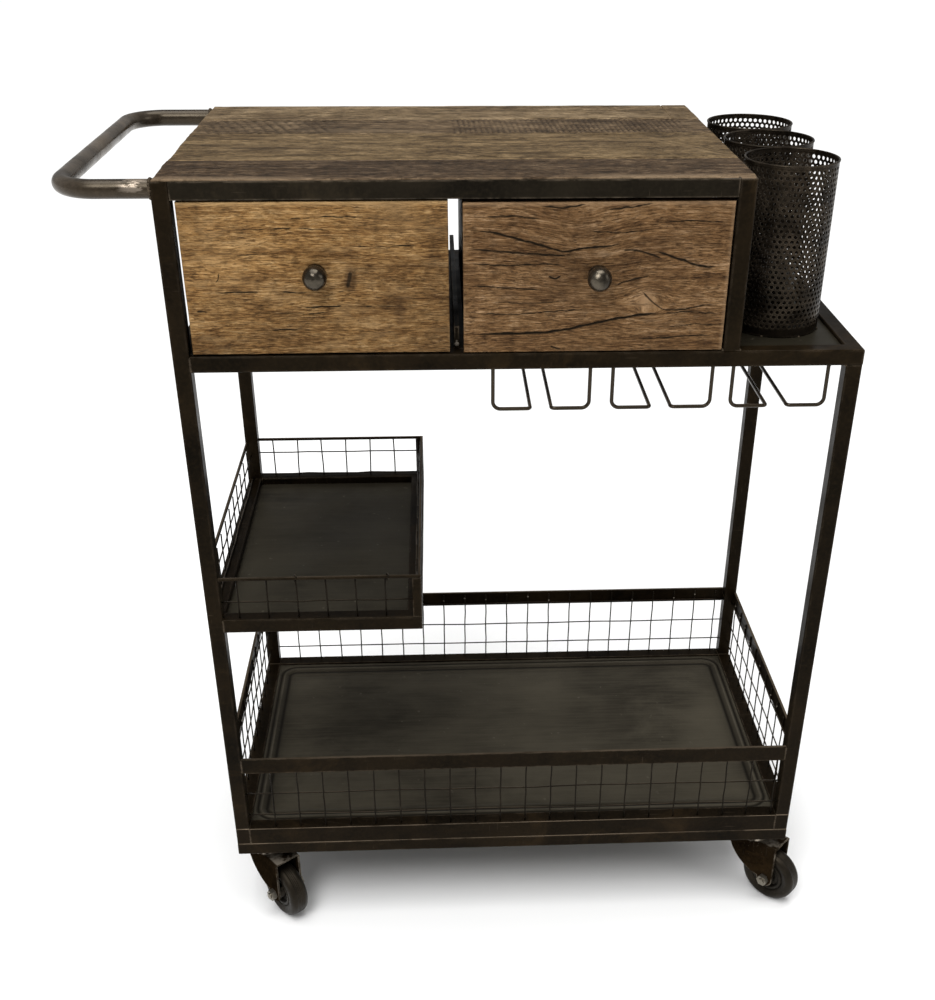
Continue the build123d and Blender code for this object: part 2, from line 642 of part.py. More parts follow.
for caster_name, (pivot_x, pivot_y, swing) in caster_pivots.items():
    pivot = Vector(left + pivot_x, front + pivot_y, 0)
    rearward = Vector(math.sin(math.radians(swing)), -math.cos(math.radians(swing)), 0)
    sideways = rearward.cross(Vector(0, 0, 1))
    axle_centre = pivot + rearward * trail + Vector(0, 0, axle_level)

    # plate welded under the base, fixed race and kingpin in one
    with BuildPart() as caster_plate:
        with BuildSketch(Plane.XY.offset(base - strip)):
            with Locations((pivot.X, pivot.Y)):
                RectangleRounded(plate_side, plate_side, strip)
        extrude(amount=strip)
        with BuildSketch(Plane(origin=pivot, x_dir=(1, 0, 0), z_dir=(0, -1, 0))):
            with BuildLine():
                Polyline(
                    (0, base - strip),
                    (race_radius, base - strip),
                    (race_radius, race_bottom),
                    (kingpin_radius, race_bottom),
                    (kingpin_radius, pin_head_top),
                    (kingpin_head_radius, pin_head_top),
                    (kingpin_head_radius, pin_head_top - kingpin_head),
                    (0, pin_head_top - kingpin_head),
                    close=True,
                )
            make_face()
        revolve(axis=Axis(pivot, (0, 0, 1)))
    save(caster_plate, f"caster_{caster_name}_plate")

    # pressed fork with the turning race on its crown
    side_view = Plane(origin=pivot, x_dir=rearward, z_dir=rearward.cross(Vector(0, 0, 1)))
    with BuildPart() as caster_fork:
        toe_front = trail + fork_toe
        toe_rear = trail - fork_toe
        shoulder_level = crown_top - fork_shoulder
        with BuildSketch(side_view):
            with BuildLine():
                Line((toe_front, axle_level), (toe_front, crown_top))
                Line((toe_front, crown_top), (-fork_rear, crown_top))
                Line((-fork_rear, crown_top), (-fork_rear, shoulder_level))
                ThreePointArc((-fork_rear, shoulder_level), (-fork_rear + 14.0, base - 54.0),
                              (toe_rear, axle_level))
                ThreePointArc((toe_rear, axle_level), (trail, axle_level - fork_toe),
                              (toe_front, axle_level))
            make_face()
        extrude(amount=fork_width / 2, both=True)
        top_edges = edges().filter_by(Axis((0, 0, 0), rearward)).group_by(Axis.Z)[-1]
        fillet(top_edges, radius=fork_bend)
        with BuildSketch(side_view):
            with Locations((trail, (crown_bottom + axle_level) / 2 - fork_toe)):
                Rectangle(4 * trail, crown_bottom - axle_level + 2 * fork_toe)
        extrude(amount=fork_width / 2 - fork_wall, both=True, mode=Mode.SUBTRACT)
        with BuildSketch(Plane(origin=pivot, x_dir=(1, 0, 0), z_dir=(0, -1, 0))):
            with BuildLine():
                Polyline(
                    (0, crown_top),
                    (dome_radius, crown_top),
                    (dome_radius, crown_top + 0.5 * dome_height),
                    (0.9 * dome_radius, dome_top),
                    (0, dome_top),
                    close=True,
                )
            make_face()
        revolve(axis=Axis(pivot, (0, 0, 1)))
        with BuildSketch(Plane(origin=pivot + Vector(0, 0, crown_bottom), z_dir=(0, 0, 1))):
            Circle(kingpin_radius + kingpin_fit)
        extrude(amount=dome_top - crown_bottom, mode=Mode.SUBTRACT)
        with BuildSketch(Plane(origin=axle_centre, z_dir=sideways)):
            Circle(axle_radius + axle_fit)
        extrude(amount=fork_width, both=True, mode=Mode.SUBTRACT)
    save(caster_fork, f"caster_{caster_name}_fork")

    # axle bolt and its nut
    with BuildPart() as caster_axle:
        bolt_side = Plane(origin=axle_centre - sideways * (fork_width / 2), z_dir=sideways)
        nut_side = Plane(origin=axle_centre + sideways * (fork_width / 2), z_dir=sideways)
        with BuildSketch(bolt_side):
            RegularPolygon(bolt_flats / 2, 6, major_radius=False)
        extrude(amount=-bolt_head)
        with BuildSketch(bolt_side):
            Circle(axle_radius)
        extrude(amount=fork_width + nut_height + bolt_end)
        with BuildSketch(nut_side):
            RegularPolygon(bolt_flats / 2, 6, major_radius=False)
            Circle(axle_radius + axle_fit, mode=Mode.SUBTRACT)
        extrude(amount=nut_height)
    save(caster_axle, f"caster_{caster_name}_axle")

    # wheel: a hub with a recessed web, and the tyre on it
    with BuildPart() as caster_wheel:
        wheel_section = Plane(origin=axle_centre, x_dir=rearward, z_dir=(0, 0, 1))
        wheel_axis = Axis(axle_centre, sideways)
        bore = axle_radius + axle_fit
        rim_inside = hub_radius - hub_rim
        with BuildSketch(wheel_section):
            with Locations(((bore + boss_radius) / 2, 0)):
                Rectangle(boss_radius - bore, boss_width)
            with Locations(((boss_radius + rim_inside) / 2, 0)):
                Rectangle(rim_inside - boss_radius, web_width)
            with Locations(((rim_inside + hub_radius) / 2, 0)):
                Rectangle(hub_rim, hub_width)
        revolve(axis=wheel_axis)
        with BuildSketch(wheel_section):
            with Locations(((hub_radius + tyre_seat + wheel_radius) / 2, 0)):
                Rectangle(wheel_radius - hub_radius - tyre_seat, wheel_width)
            outer_corners = vertices().group_by(Axis(axle_centre, rearward))[-1]
            fillet(outer_corners, radius=wheel_shoulder)
        revolve(axis=wheel_axis)
    save(caster_wheel, f"caster_{caster_name}_wheel")
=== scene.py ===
"""The look of a bar cart on wheels: reclaimed planks and drawer fronts, lacquered steel, perforated cups,
welded wire mesh and rubber-tyred casters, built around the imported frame. Metres, +Z up."""
import json
import random
from functools import partialmethod
from math import atan2, cos, exp, hypot, pi, radians, sin

import bmesh
import bpy
import numpy as np
from mathutils import Matrix, Vector

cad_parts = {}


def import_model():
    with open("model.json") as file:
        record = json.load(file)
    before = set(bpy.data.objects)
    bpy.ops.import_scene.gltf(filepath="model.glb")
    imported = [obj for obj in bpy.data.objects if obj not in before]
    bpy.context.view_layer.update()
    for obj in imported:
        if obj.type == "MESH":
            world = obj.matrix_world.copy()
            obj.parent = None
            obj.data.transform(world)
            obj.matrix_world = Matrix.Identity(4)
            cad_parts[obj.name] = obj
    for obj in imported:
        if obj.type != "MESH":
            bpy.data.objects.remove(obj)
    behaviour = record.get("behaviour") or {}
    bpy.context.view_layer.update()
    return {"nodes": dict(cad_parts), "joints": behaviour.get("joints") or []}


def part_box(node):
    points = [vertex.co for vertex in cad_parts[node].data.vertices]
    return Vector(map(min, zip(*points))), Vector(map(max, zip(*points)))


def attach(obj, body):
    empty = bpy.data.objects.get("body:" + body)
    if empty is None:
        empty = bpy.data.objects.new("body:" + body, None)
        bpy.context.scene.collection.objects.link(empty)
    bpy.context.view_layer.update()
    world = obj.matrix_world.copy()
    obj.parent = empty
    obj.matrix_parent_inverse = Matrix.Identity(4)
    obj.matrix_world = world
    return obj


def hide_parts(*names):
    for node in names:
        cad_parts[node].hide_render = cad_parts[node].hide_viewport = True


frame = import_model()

MM = 0.001
CART = "cart"
CUP_RADIUS, CUP_SHEET = 47.5 * MM, 1.2 * MM
CUPS = ("cup_front", "cup_middle", "cup_back")
WIRE_PITCH, WIRE_RADIUS = 31.3 * MM, 0.9 * MM

ring_low, ring_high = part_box("base_ring")
LEFT, FRONT, BASE = ring_low
RIGHT, BACK, BASE_TOP = ring_high
TUBE = BASE_TOP - BASE
FLOOR_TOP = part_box("lower_floor_frame")[1].z


# ---- small helpers
def rise(value, low, high):
    """0 below low, 1 above high, and a smooth ramp between."""
    t = np.clip((value - low) / (high - low), 0, 1)
    return t * t * (3 - 2 * t)


def lattice(i, j, seed):
    """A repeatable number from 0 to 1 for each lattice point."""
    value = np.sin(i * 127.1 + j * 311.7 + seed * 74.7) * 43758.5453
    return value - np.floor(value)


def value_noise(x, y, seed):
    """Smooth noise from -1 to 1 over a plane."""
    i, j = np.floor(x), np.floor(y)
    u, v = x - i, y - j
    u, v = u * u * (3 - 2 * u), v * v * (3 - 2 * v)
    low = lattice(i, j, seed) * (1 - u) + lattice(i + 1, j, seed) * u
    high = lattice(i, j + 1, seed) * (1 - u) + lattice(i + 1, j + 1, seed) * u
    return 2 * (low * (1 - v) + high * v) - 1


def fbm(x, y, seed, octaves=4):
    """Several layers of noise, each finer and fainter."""
    total, strength = 0, 1
    for octave in range(octaves):
        total = total + strength * value_noise(x * 2**octave, y * 2**octave, seed + octave)
        strength *= 0.5
    return total / 2


def link(name, data):
    """A new object in the scene."""
    obj = bpy.data.objects.new(name, data)
    bpy.context.scene.collection.objects.link(obj)
    return obj


def from_bmesh(name, bm, smooth=True):
    """A mesh object from a bmesh, with outward normals."""
    bmesh.ops.recalc_face_normals(bm, faces=bm.faces)
    mesh = bpy.data.meshes.new(name)
    bm.to_mesh(mesh)
    bm.free()
    if smooth:
        mesh.polygons.foreach_set("use_smooth", [True] * len(mesh.polygons))
    return link(name, mesh)


def from_lists(name, vertices, faces):
    """A smooth mesh object from vertex and face lists, with outward normals."""
    mesh = bpy.data.meshes.new(name)
    mesh.from_pydata([tuple(v) for v in vertices], [], faces)
    bm = bmesh.new()
    bm.from_mesh(mesh)
    bpy.data.meshes.remove(mesh)
    return from_bmesh(name, bm)


def place(obj, body, material, slot, *replaced):
    """Give a piece its material and its body, and hide the frame nodes that it stands for. The slot is not
    used.
    """
    obj.data.materials.clear()
    obj.data.materials.append(material)
    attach(obj, body)
    if replaced:
        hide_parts(*replaced)
    return obj


def smooth_curve(points, steps=10):
    """A Catmull-Rom curve through the points."""
    p = [np.array(q, float) for q in points]
    p = [2 * p[0] - p[1]] + p + [2 * p[-1] - p[-2]]
    out = []
    for k in range(1, len(p) - 2):
        for s in range(steps):
            t = s / steps
            out.append(0.5 * (2 * p[k] + (p[k + 1] - p[k - 1]) * t
                              + (2 * p[k - 1] - 5 * p[k] + 4 * p[k + 1] - p[k + 2]) * t**2
                              + (3 * p[k] - p[k - 1] - 3 * p[k + 1] + p[k + 2]) * t**3))
    out.append(p[-2])
    return np.array(out)


def turn(count):
    """Evenly spaced angles round a full turn."""
    return [2 * pi * s / count for s in range(count)]


def band(bm, below, above):
    """Faces between two closed rings of vertices."""
    for k in range(len(below)):
        t = (k + 1) % len(below)
        bm.faces.new((below[k], below[t], above[t], above[k]))


def add_tube(bm, points, radius, sides=8):
    """Add a round closed tube along a line of points."""
    points = [Vector(p) for p in points]
    side = None
    rings = []
    for k, point in enumerate(points):
        ahead = points[min(k + 1, len(points) - 1)] - points[max(k - 1, 0)]
        ahead.normalize()
        if side is None:
            side = ahead.orthogonal().normalized()
        else:
            side = (side - ahead * side.dot(ahead)).normalized()
        up = ahead.cross(side)
        rings.append([bm.verts.new(point + radius * (side * cos(a) + up * sin(a)))
                      for a in turn(sides)])
    for low, high in zip(rings, rings[1:]):
        band(bm, low, high)
    bm.faces.new(rings[0][::-1])
    bm.faces.new(rings[-1])


def revolved(name, profile, centre, axis, across, steps=64):
    """A mesh turned from a profile of (radius, height) about an axis. A point on the axis closes its end,
    and a profile with no such point is joined into a ring."""
    centre, axis, across = Vector(centre), Vector(axis).normalized(), Vector(across).normalized()
    other = axis.cross(across)
    vertices, faces, rings = [], [], []
    for radius, height in profile:
        start = len(vertices)
        vertices += [centre + axis * height + radius * (across * cos(a) + other * sin(a))
                     for a in turn(steps if radius else 1)]
        rings.append(range(start, len(vertices)))
    if len(rings[0]) > 1:
        rings.append(rings[0])
    for low, high in zip(rings, rings[1:]):
        for s in range(steps):
            t = (s + 1) % steps
            if len(low) == 1:
                faces.append((low[0], high[t], high[s]))
            elif len(high) == 1:
                faces.append((low[s], low[t], high[0]))
            else:
                faces.append((low[s], low[t], high[t], high[s]))
    return from_lists(name, vertices, faces)


# ---- shader nodes
class Nodes:
    """A short way to write a material's node tree. Its place is the object's own coordinates."""

    def __init__(self, name):
        self.material = bpy.data.materials.new(name)
        self.material.use_nodes = True
        self.tree = self.material.node_tree
        self.place = self.position((1, 1, 1), self.add("TexCoord", output=3))

    def add(self, kind, inputs=None, output=0, **settings):
        node = self.tree.nodes.new("ShaderNode" + kind)
        for key, value in settings.items():
            setattr(node, key, value)
        for key, value in (inputs or {}).items():
            self.put(node.inputs[key], value)
        return node.outputs[output]

    def put(self, socket, value):
        if isinstance(value, bpy.types.NodeSocket):
            self.tree.links.new(value, socket)
        else:
            socket.default_value = (*value, 1) if socket.type == "RGBA" else value

    def position(self, scale, source=None):
        return self.add("Mapping", {"Vector": source or self.place, "Scale": scale})

    def noise(self, scale, detail=4, roughness=0.55, distortion=0, source=None):
        """Noise with one scale, or with a scale for each axis."""
        even_scale = isinstance(scale, (int, float))
        return self.add("TexNoise", {
            "Vector": self.place if even_scale else self.position(scale, source),
            "Scale": scale if even_scale else 1,
            "Detail": detail, "Roughness": roughness, "Distortion": distortion})

    def remap(self, value, low, high, out_low=0, out_high=1):
        return self.add("MapRange", {"Value": value, "From Min": low, "From Max": high,
                                     "To Min": out_low, "To Max": out_high})

    def cloud(self, scale, settings, *limits):
        """Remapped noise. The settings are its detail, roughness and distortion."""
        return self.remap(self.noise(scale, *settings), *limits)

    def maths(self, operation, first, *others):
        for other in others or (0,):
            first = self.add("Math", {0: first, 1: other}, operation=operation)
        return first

    plus = partialmethod(maths, "ADD")
    minus = partialmethod(maths, "SUBTRACT")
    times = partialmethod(maths, "MULTIPLY")
    most = partialmethod(maths, "MAXIMUM")

    def near(self, value, middle, low, high):
        """A ramp on the distance between a value and a middle."""
        return self.remap(self.maths("ABSOLUTE", self.minus(value, middle)), low, high)

    def part(self, axis, vector=None):
        """The X, Y or Z part of a vector, by its number, or of the place."""
        return self.add("SeparateXYZ", {0: vector or self.place}, output=axis)

    def upward(self):
        """How far the surface faces up, from -1 to 1."""
        return self.part(2, self.add("NewGeometry", output=1))

    def mix(self, factor, a, b, blend="MIX"):
        return self.add("Mix", {0: factor, 6: a, 7: b}, output=2, data_type="RGBA", blend_type=blend)

    def ramp(self, value, stops):
        colour = self.add("ValToRGB", {0: value})
        elements = colour.node.color_ramp.elements
        while len(elements) < len(stops):
            elements.new(0.5)
        for element, (position, shade) in zip(elements, stops):
            element.position = position
            element.color = (*shade, 1)
        return colour

    def attribute(self, name):
        return self.add("Attribute", output=2, attribute_name=name)

    def edges(self, radius, low=0.02, high=0.25):
        """1 on sharp outer and inner corners, 0 on flats."""
        normals = {0: self.add("Bevel", {"Radius": radius}, samples=6),
                   1: self.add("NewGeometry", output=1)}
        dot = self.add("VectorMath", normals, output=1, operation="DOT_PRODUCT")
        return self.remap(self.minus(1, dot), low, high)

    def bump(self, height, strength, distance, **below):
        return self.add("Bump", {"Height": height, "Strength": strength, "Distance": distance, **below})

    def finish(self, colour, roughness, bump=None, specular=None, metallic=None):
        """Set the shader. A specular level comes with a warm tint."""
        for key, value in (("Base Color", colour), ("Roughness", roughness), ("Normal", bump),
                           ("Specular IOR Level", specular), ("Metallic", metallic),
                           ("Specular Tint", None if specular is None else WARM)):
            if value is not None:
                self.put(self.tree.nodes["Principled BSDF"].inputs[key], value)
        return self.material


# ---- materials
DARK = (0.0018, 0.0013, 0.0008)
BROWN = (0.0078, 0.0050, 0.0024)
WORN = (0.22, 0.17, 0.12)
WARM = (1, 0.84, 0.62)


def scaled(colour, *factors):
    """A colour times one factor, or a factor for each channel."""
    return tuple(f * c for f, c in zip(factors * 3, colour))


def steel(name, dark, brown, roughness=0.33, wear=0.55, specular=0.09, bright=None, worn=WORN):
    """Dark lacquer over steel: cloudy browns, patches of painted sheen, fine scratches, and pale metal
    where the edges are worn and where the bright function says."""
    n = Nodes(name)
    colour = n.mix(n.cloud(14, (5,), 0.35, 0.68), dark, brown)
    colour = n.mix(n.times(n.cloud(260, (3,), 0.45, 0.75), 0.35), colour, scaled(brown, 2.2))
    # Painted sheen: cloudy patches where the colour is lightened towards a paler brown, in place of a
    # glossier shine.
    painted_sheen = n.cloud(11, (6, 0.68, 0.6), 0.42, 0.66)
    colour = n.mix(n.times(painted_sheen, 0.5), colour, scaled(brown, 1.9))
    tarnish = n.cloud((7, 7, 10), (7, 0.72, 0.8), 0.56, 0.70, 0, 0.55)
    colour = n.mix(tarnish, colour, scaled(brown, 3.6, 3.4, 3))
    scratches = (n.cloud(scale, (2, 0.4), 0.70, 0.76) for scale in ((24, 900, 900), (900, 900, 30)))
    scratch = n.times(n.most(*scratches), n.cloud(9, (2,), 0.48, 0.62))
    edge = n.times(n.edges(3.2 * MM, 0.015, 0.16), n.cloud(38, (5, 0.7), 0.42, 0.62))
    mask = n.most(n.times(edge, wear), n.times(scratch, 0.22))
    if bright is not None:
        mask = n.most(mask, bright(n))
    shine = n.cloud(30, (), 0.3, 0.7, roughness - 0.09, roughness + 0.12)
    bump = n.bump(n.noise(45, 3), 0.1, MM, Normal=n.bump(n.noise(420, 3), 0.12, 0.3 * MM))
    return n.finish(n.mix(mask, colour, worn), shine, bump, specular, n.times(mask, 0.85))


def seam_wear(n):
    """Pale metal along the base seam and the floor frame's upper edge, broken up along its length."""
    lines = n.most(*(n.near(n.part(2), level, MM, 0.4 * MM) for level in (BASE_TOP, FLOOR_TOP)))
    patch = n.cloud((14, 14, 1), (5, 0.65), 0.38, 0.56, 0.2)
    return n.times(lines, patch, 0.75, n.remap(n.upward(), 0.9, 0.5))


def painted_top_highlight(n):
    """A painted highlight: pale metal in patches along the upward faces of a rod, rim or wire."""
    return n.times(n.remap(n.upward(), 0.82, 0.97), n.cloud((9, 9, 9), (5, 0.65), 0.36, 0.58, 0.25), 0.38)


def grip_wear(n):
    """Rubbed metal along the grip's upper side, and a scraped patch beside the front weld."""
    along, across, height = n.part(0).node.outputs
    grip = n.remap(along, LEFT - 60 * MM, LEFT - 86 * MM)
    worn = n.times(grip, n.cloud(22, (6, 0.7), 0.38, 0.62), 0.16)
    arm = n.remap(across, FRONT + 24 * MM, FRONT + 12 * MM)
    ragged = n.cloud((40, 120, 190), (5, 0.7), 0.50, 0.56)
    scrape = n.times(arm, n.near(along, LEFT - 15 * MM, 16 * MM, 5 * MM), 0.75, ragged)
    return n.most(worn, n.times(scrape, n.remap(height, BASE + 819 * MM, BASE + 824 * MM)))


def race_wear(n):
    """Bright scratched steel round the turning race."""
    ring = n.near(n.part(2), BASE - 12 * MM, 4.6 * MM, 3.2 * MM)
    return n.times(ring, n.cloud(70, (4, 0.6), 0.42, 0.58), 0.85)


frame_steel = steel("frame_steel", DARK, BROWN, wear=0.32, specular=0.045, bright=seam_wear)
# The rims, rods and wires get a painted highlight along their upward faces.
rim_steel = steel("rim_steel", DARK, BROWN, wear=0.25, specular=0.045, bright=painted_top_highlight)
blackened_steel = steel("blackened_steel", (0.0028, 0.0023, 0.0016), (0.0082, 0.0064, 0.0041),
                        wear=0.4, specular=0.07)
rod_steel = steel("rod_steel", (0.004, 0.003, 0.002), (0.011, 0.0075, 0.0042),
                  roughness=0.26, wear=0.2, specular=0.3, bright=painted_top_highlight)
mesh_steel = steel("mesh_steel", (0.0022, 0.0018, 0.0014), (0.0062, 0.0046, 0.003),
                   roughness=0.34, wear=0, specular=0.08, bright=painted_top_highlight)
cup_steel = steel("cup_steel", (0.0018, 0.0014, 0.0011), (0.0062, 0.0045, 0.003),
                  roughness=0.3, wear=0.25)
weld_steel = steel("weld_steel", (0.01, 0.008, 0.006), (0.035, 0.026, 0.017), roughness=0.4, wear=0.3)
spot_steel = steel("spot_steel", (0.05, 0.045, 0.038), (0.16, 0.14, 0.115), roughness=0.4, wear=0.1)
handle_steel = steel("handle_steel", (0.006, 0.0045, 0.003), (0.022, 0.016, 0.0105), roughness=0.24,
                     wear=0, specular=0.3, bright=grip_wear, worn=(0.3, 0.25, 0.2))
caster_steel = steel("caster_steel", (0.0032, 0.0021, 0.0012), (0.0125, 0.0078, 0.0038), roughness=0.34,
                     wear=0.45, specular=0, bright=race_wear, worn=(0.42, 0.37, 0.3))


def sheet(name, light, dark, pressed=False):
    """A lacquered sheet floor: soft clouds, faint streaks, patches of painted sheen and a satin shine. A
    pressed sheet has painted shade in its grooves and along its pan's edge, and painted highlights on its
    ridges, from two attributes of the mesh."""
    n = Nodes(name)
    colour = n.mix(n.cloud(5, (6, 0.6), 0.3, 0.7), dark, light)
    colour = n.mix(n.cloud(2.6, (4, 0.6, 0.4), 0.44, 0.64, 0, 0.6), colour, scaled(light, 1.45))
    colour = n.mix(n.cloud((15, 300, 5), (), 0.4, 0.7, 0, 0.35), colour, scaled(light, 1.5))
    # Painted sheen: soft patches lightened towards a paler tone.
    painted_sheen = n.cloud((7, 14, 7), (6, 0.65, 0.5), 0.42, 0.64, 0, 0.55)
    colour = n.mix(painted_sheen, colour, scaled(light, 1.35))
    fleck = n.cloud(130, (2, 0.4), 0.72, 0.78)
    colour = n.mix(n.times(fleck, 0.4), colour, (0.12, 0.105, 0.08))
    colour = n.mix(n.times(n.edges(1.4 * MM), n.cloud(30, (), 0.4, 0.6), 0.35), colour, WORN)
    if pressed:
        # Painted shade from the mesh: dark in the grooves and along the pan's edge.
        colour = n.mix(n.attribute("painted_shade"), colour, (0.0035, 0.0028, 0.0019))
        # Painted highlights from the mesh along the ridges beside the groove.
        ridge_highlight = n.times(n.attribute("painted_ridge_highlight"), n.cloud(18, (5,), 0.35, 0.6, 0.3))
        colour = n.mix(ridge_highlight, colour, (0.085, 0.074, 0.055))
    shine = n.cloud(12, (5,), 0.3, 0.7, 0.34, 0.52)
    return n.finish(colour, shine, n.bump(n.noise(22, 3), 0.12, 2 * MM), 0.12)


# One lacquered sheet at three brightnesses: painted lighter for the lower tray, plain for the upper tray,
# and painted darker as shade for the shelf and the drawer boxes.
lit_tray_steel = sheet("lit_tray_steel", (0.049, 0.0428, 0.0305), (0.016, 0.0134, 0.0094), pressed=True)
sheet_steel = sheet("sheet_steel", (0.029, 0.0250, 0.0170), (0.009, 0.0074, 0.0048))
shaded_sheet_steel = sheet("shaded_sheet_steel", (0.017, 0.0146, 0.0096), (0.006, 0.0050, 0.0031))


def zinc():
    n = Nodes("zinc")
    colour = n.mix(n.noise(90), (0.1, 0.09, 0.07), (0.3, 0.27, 0.22))
    return n.finish(colour, n.cloud(160, (3,), 0.3, 0.7, 0.28, 0.5), metallic=0.9)


def rubber(name, dark, light, roughness):
    n = Nodes(name)
    colour = n.mix(n.cloud(40, (5,), 0.35, 0.7), dark, light)
    colour = n.mix(n.cloud(210, (3, 0.6), 0.58, 0.72, 0, 0.4), colour, (0.035, 0.028, 0.02))
    shine = n.cloud(60, (3,), 0.3, 0.7, roughness - 0.1, roughness + 0.1)
    return n.finish(colour, shine, n.bump(n.noise(500, 2), 0.2, 0.2 * MM), 0.16)


def hammered_iron():
    n = Nodes("hammered_iron")
    colour = n.mix(n.cloud(60, (), 0.35, 0.65), (0.024, 0.020, 0.014), (0.098, 0.082, 0.060))
    shine = n.cloud(110, (3,), 0.3, 0.7, 0.14, 0.34)
    return n.finish(colour, shine, n.bump(n.noise(190, 2), 0.25, 0.5 * MM), metallic=0.85)


zinc_bolt = zinc()
tyre_rubber = rubber("tyre_rubber", (0.004, 0.0032, 0.0024), (0.012, 0.0095, 0.0068), 0.42)
hub_plastic = rubber("hub_plastic", (0.006, 0.005, 0.004), (0.016, 0.0135, 0.0105), 0.4)
knob_iron = hammered_iron()


def wood(name, stops, blotch, blotch_amount, seed, shine=0.6):
    """Board grain: streaks, fibres and dark dashes along X, bent by the mesh's grain attribute,
    and darker in the cracks."""
    n = Nodes(name)
    flow = n.add("CombineXYZ", {0: n.part(0), 1: n.attribute("grain"), 2: seed})

    def lines(along, across, *settings):
        return n.noise((along, across, 1), *settings, source=flow)

    bands = lines(14, 330, 4, 0.6, 0.2)
    fibres = lines(75, 900, 5, 0.75)
    tone = n.plus(n.times(lines(4, 85, 5, 0.6, 0.3), 0.15), n.times(bands, 0.18),
                  n.times(fibres, 0.43), n.times(lines(26, 60, 8, 0.72, 0.8), 0.24))
    marks = n.remap(lines(100, 760, 3, 0.65), 0.545, 0.585, 0, 0.85)
    gathered = n.remap(lines(16, 40, 3), 0.38, 0.6, 0.25)
    colour, light = n.ramp(n.remap(tone, 0.402, 0.598), stops), stops[-1][1]
    for factor, tint, blend in (
        (n.remap(lines(12, 30, 7, 0.72, 0.9), 0.46, 0.62, 0, blotch_amount), blotch, "MULTIPLY"),
        (n.times(marks, gathered), (0.30, 0.25, 0.22), "MULTIPLY"),
        (n.remap(lines(120, 1700, 2, 0.5), 0.60, 0.70, 0, 0.6), (0.30, 0.30, 0.30), "MULTIPLY"),
        (n.remap(lines(60, 700, 2, 0.5), 0.64, 0.74, 0, 0.5), light, "MIX"),
        (n.remap(lines(90, 90, 6, 0.75), 0.47, 0.62, 0, 0.5), (0.42, 0.42, 0.42), "MULTIPLY"),
        (n.times(n.attribute("pale"), 0.8), light, "MIX"),
        (n.attribute("stain"), (0.30, 0.28, 0.30), "MULTIPLY"),
        (n.attribute("crack"), (0.005, 0.0032, 0.0018), "MIX"),
    ):
        colour = n.mix(factor, colour, tint, blend)
    height = n.minus(n.plus(n.times(fibres, 0.5), n.times(bands, 0.8)), n.times(marks, 0.35))
    roughness = n.remap(fibres, 0.3, 0.7, shine - 0.08, shine + 0.14)
    return n.finish(colour, roughness, n.bump(height, 1, MM), 0.14)


# ---- boards
def crack_field(u, v, cracks, seed):
    """Darkness from 0 to 1 and depth of the cracks at each point. Each crack is its width and depth, then
    the u, v, u, v... of the points that it runs through, in millimetres."""
    mask = np.zeros_like(u)
    depth = np.zeros_like(u)
    for number, (width, deep, *places) in enumerate(cracks):
        line = smooth_curve(list(zip(places[::2], places[1::2])))
        line[:, 1] += 0.5 * value_noise(line[:, 0] / 6, line[:, 0] * 0 + number, seed)
        nearest = np.full(u.shape, 1e9)
        share = np.zeros_like(u)
        for k in range(len(line) - 1):
            a, d = line[k], line[k + 1] - line[k]
            t = np.clip(((u - a[0]) * d[0] + (v - a[1]) * d[1]) / (d @ d), 0, 1)
            distance = np.hypot(u - a[0] - t * d[0], v - a[1] - t * d[1])
            closer = distance < nearest
            share = np.where(closer, (k + t) / (len(line) - 1), share)
            nearest = np.minimum(nearest, distance)
        taper = np.clip(np.minimum(share, 1 - share) * 6, 0.15, 1)
        half = np.maximum(width * taper * (1 + 0.35 * value_noise(u / 4, v / 4, seed + 9)), 0.2)
        here = 1 - rise(nearest, half * 0.6, half * 1.6)
        mask = np.maximum(mask, here * np.clip(taper * 1.4, 0, 1))
        depth = np.maximum(depth, here * deep * taper)
    return mask, depth


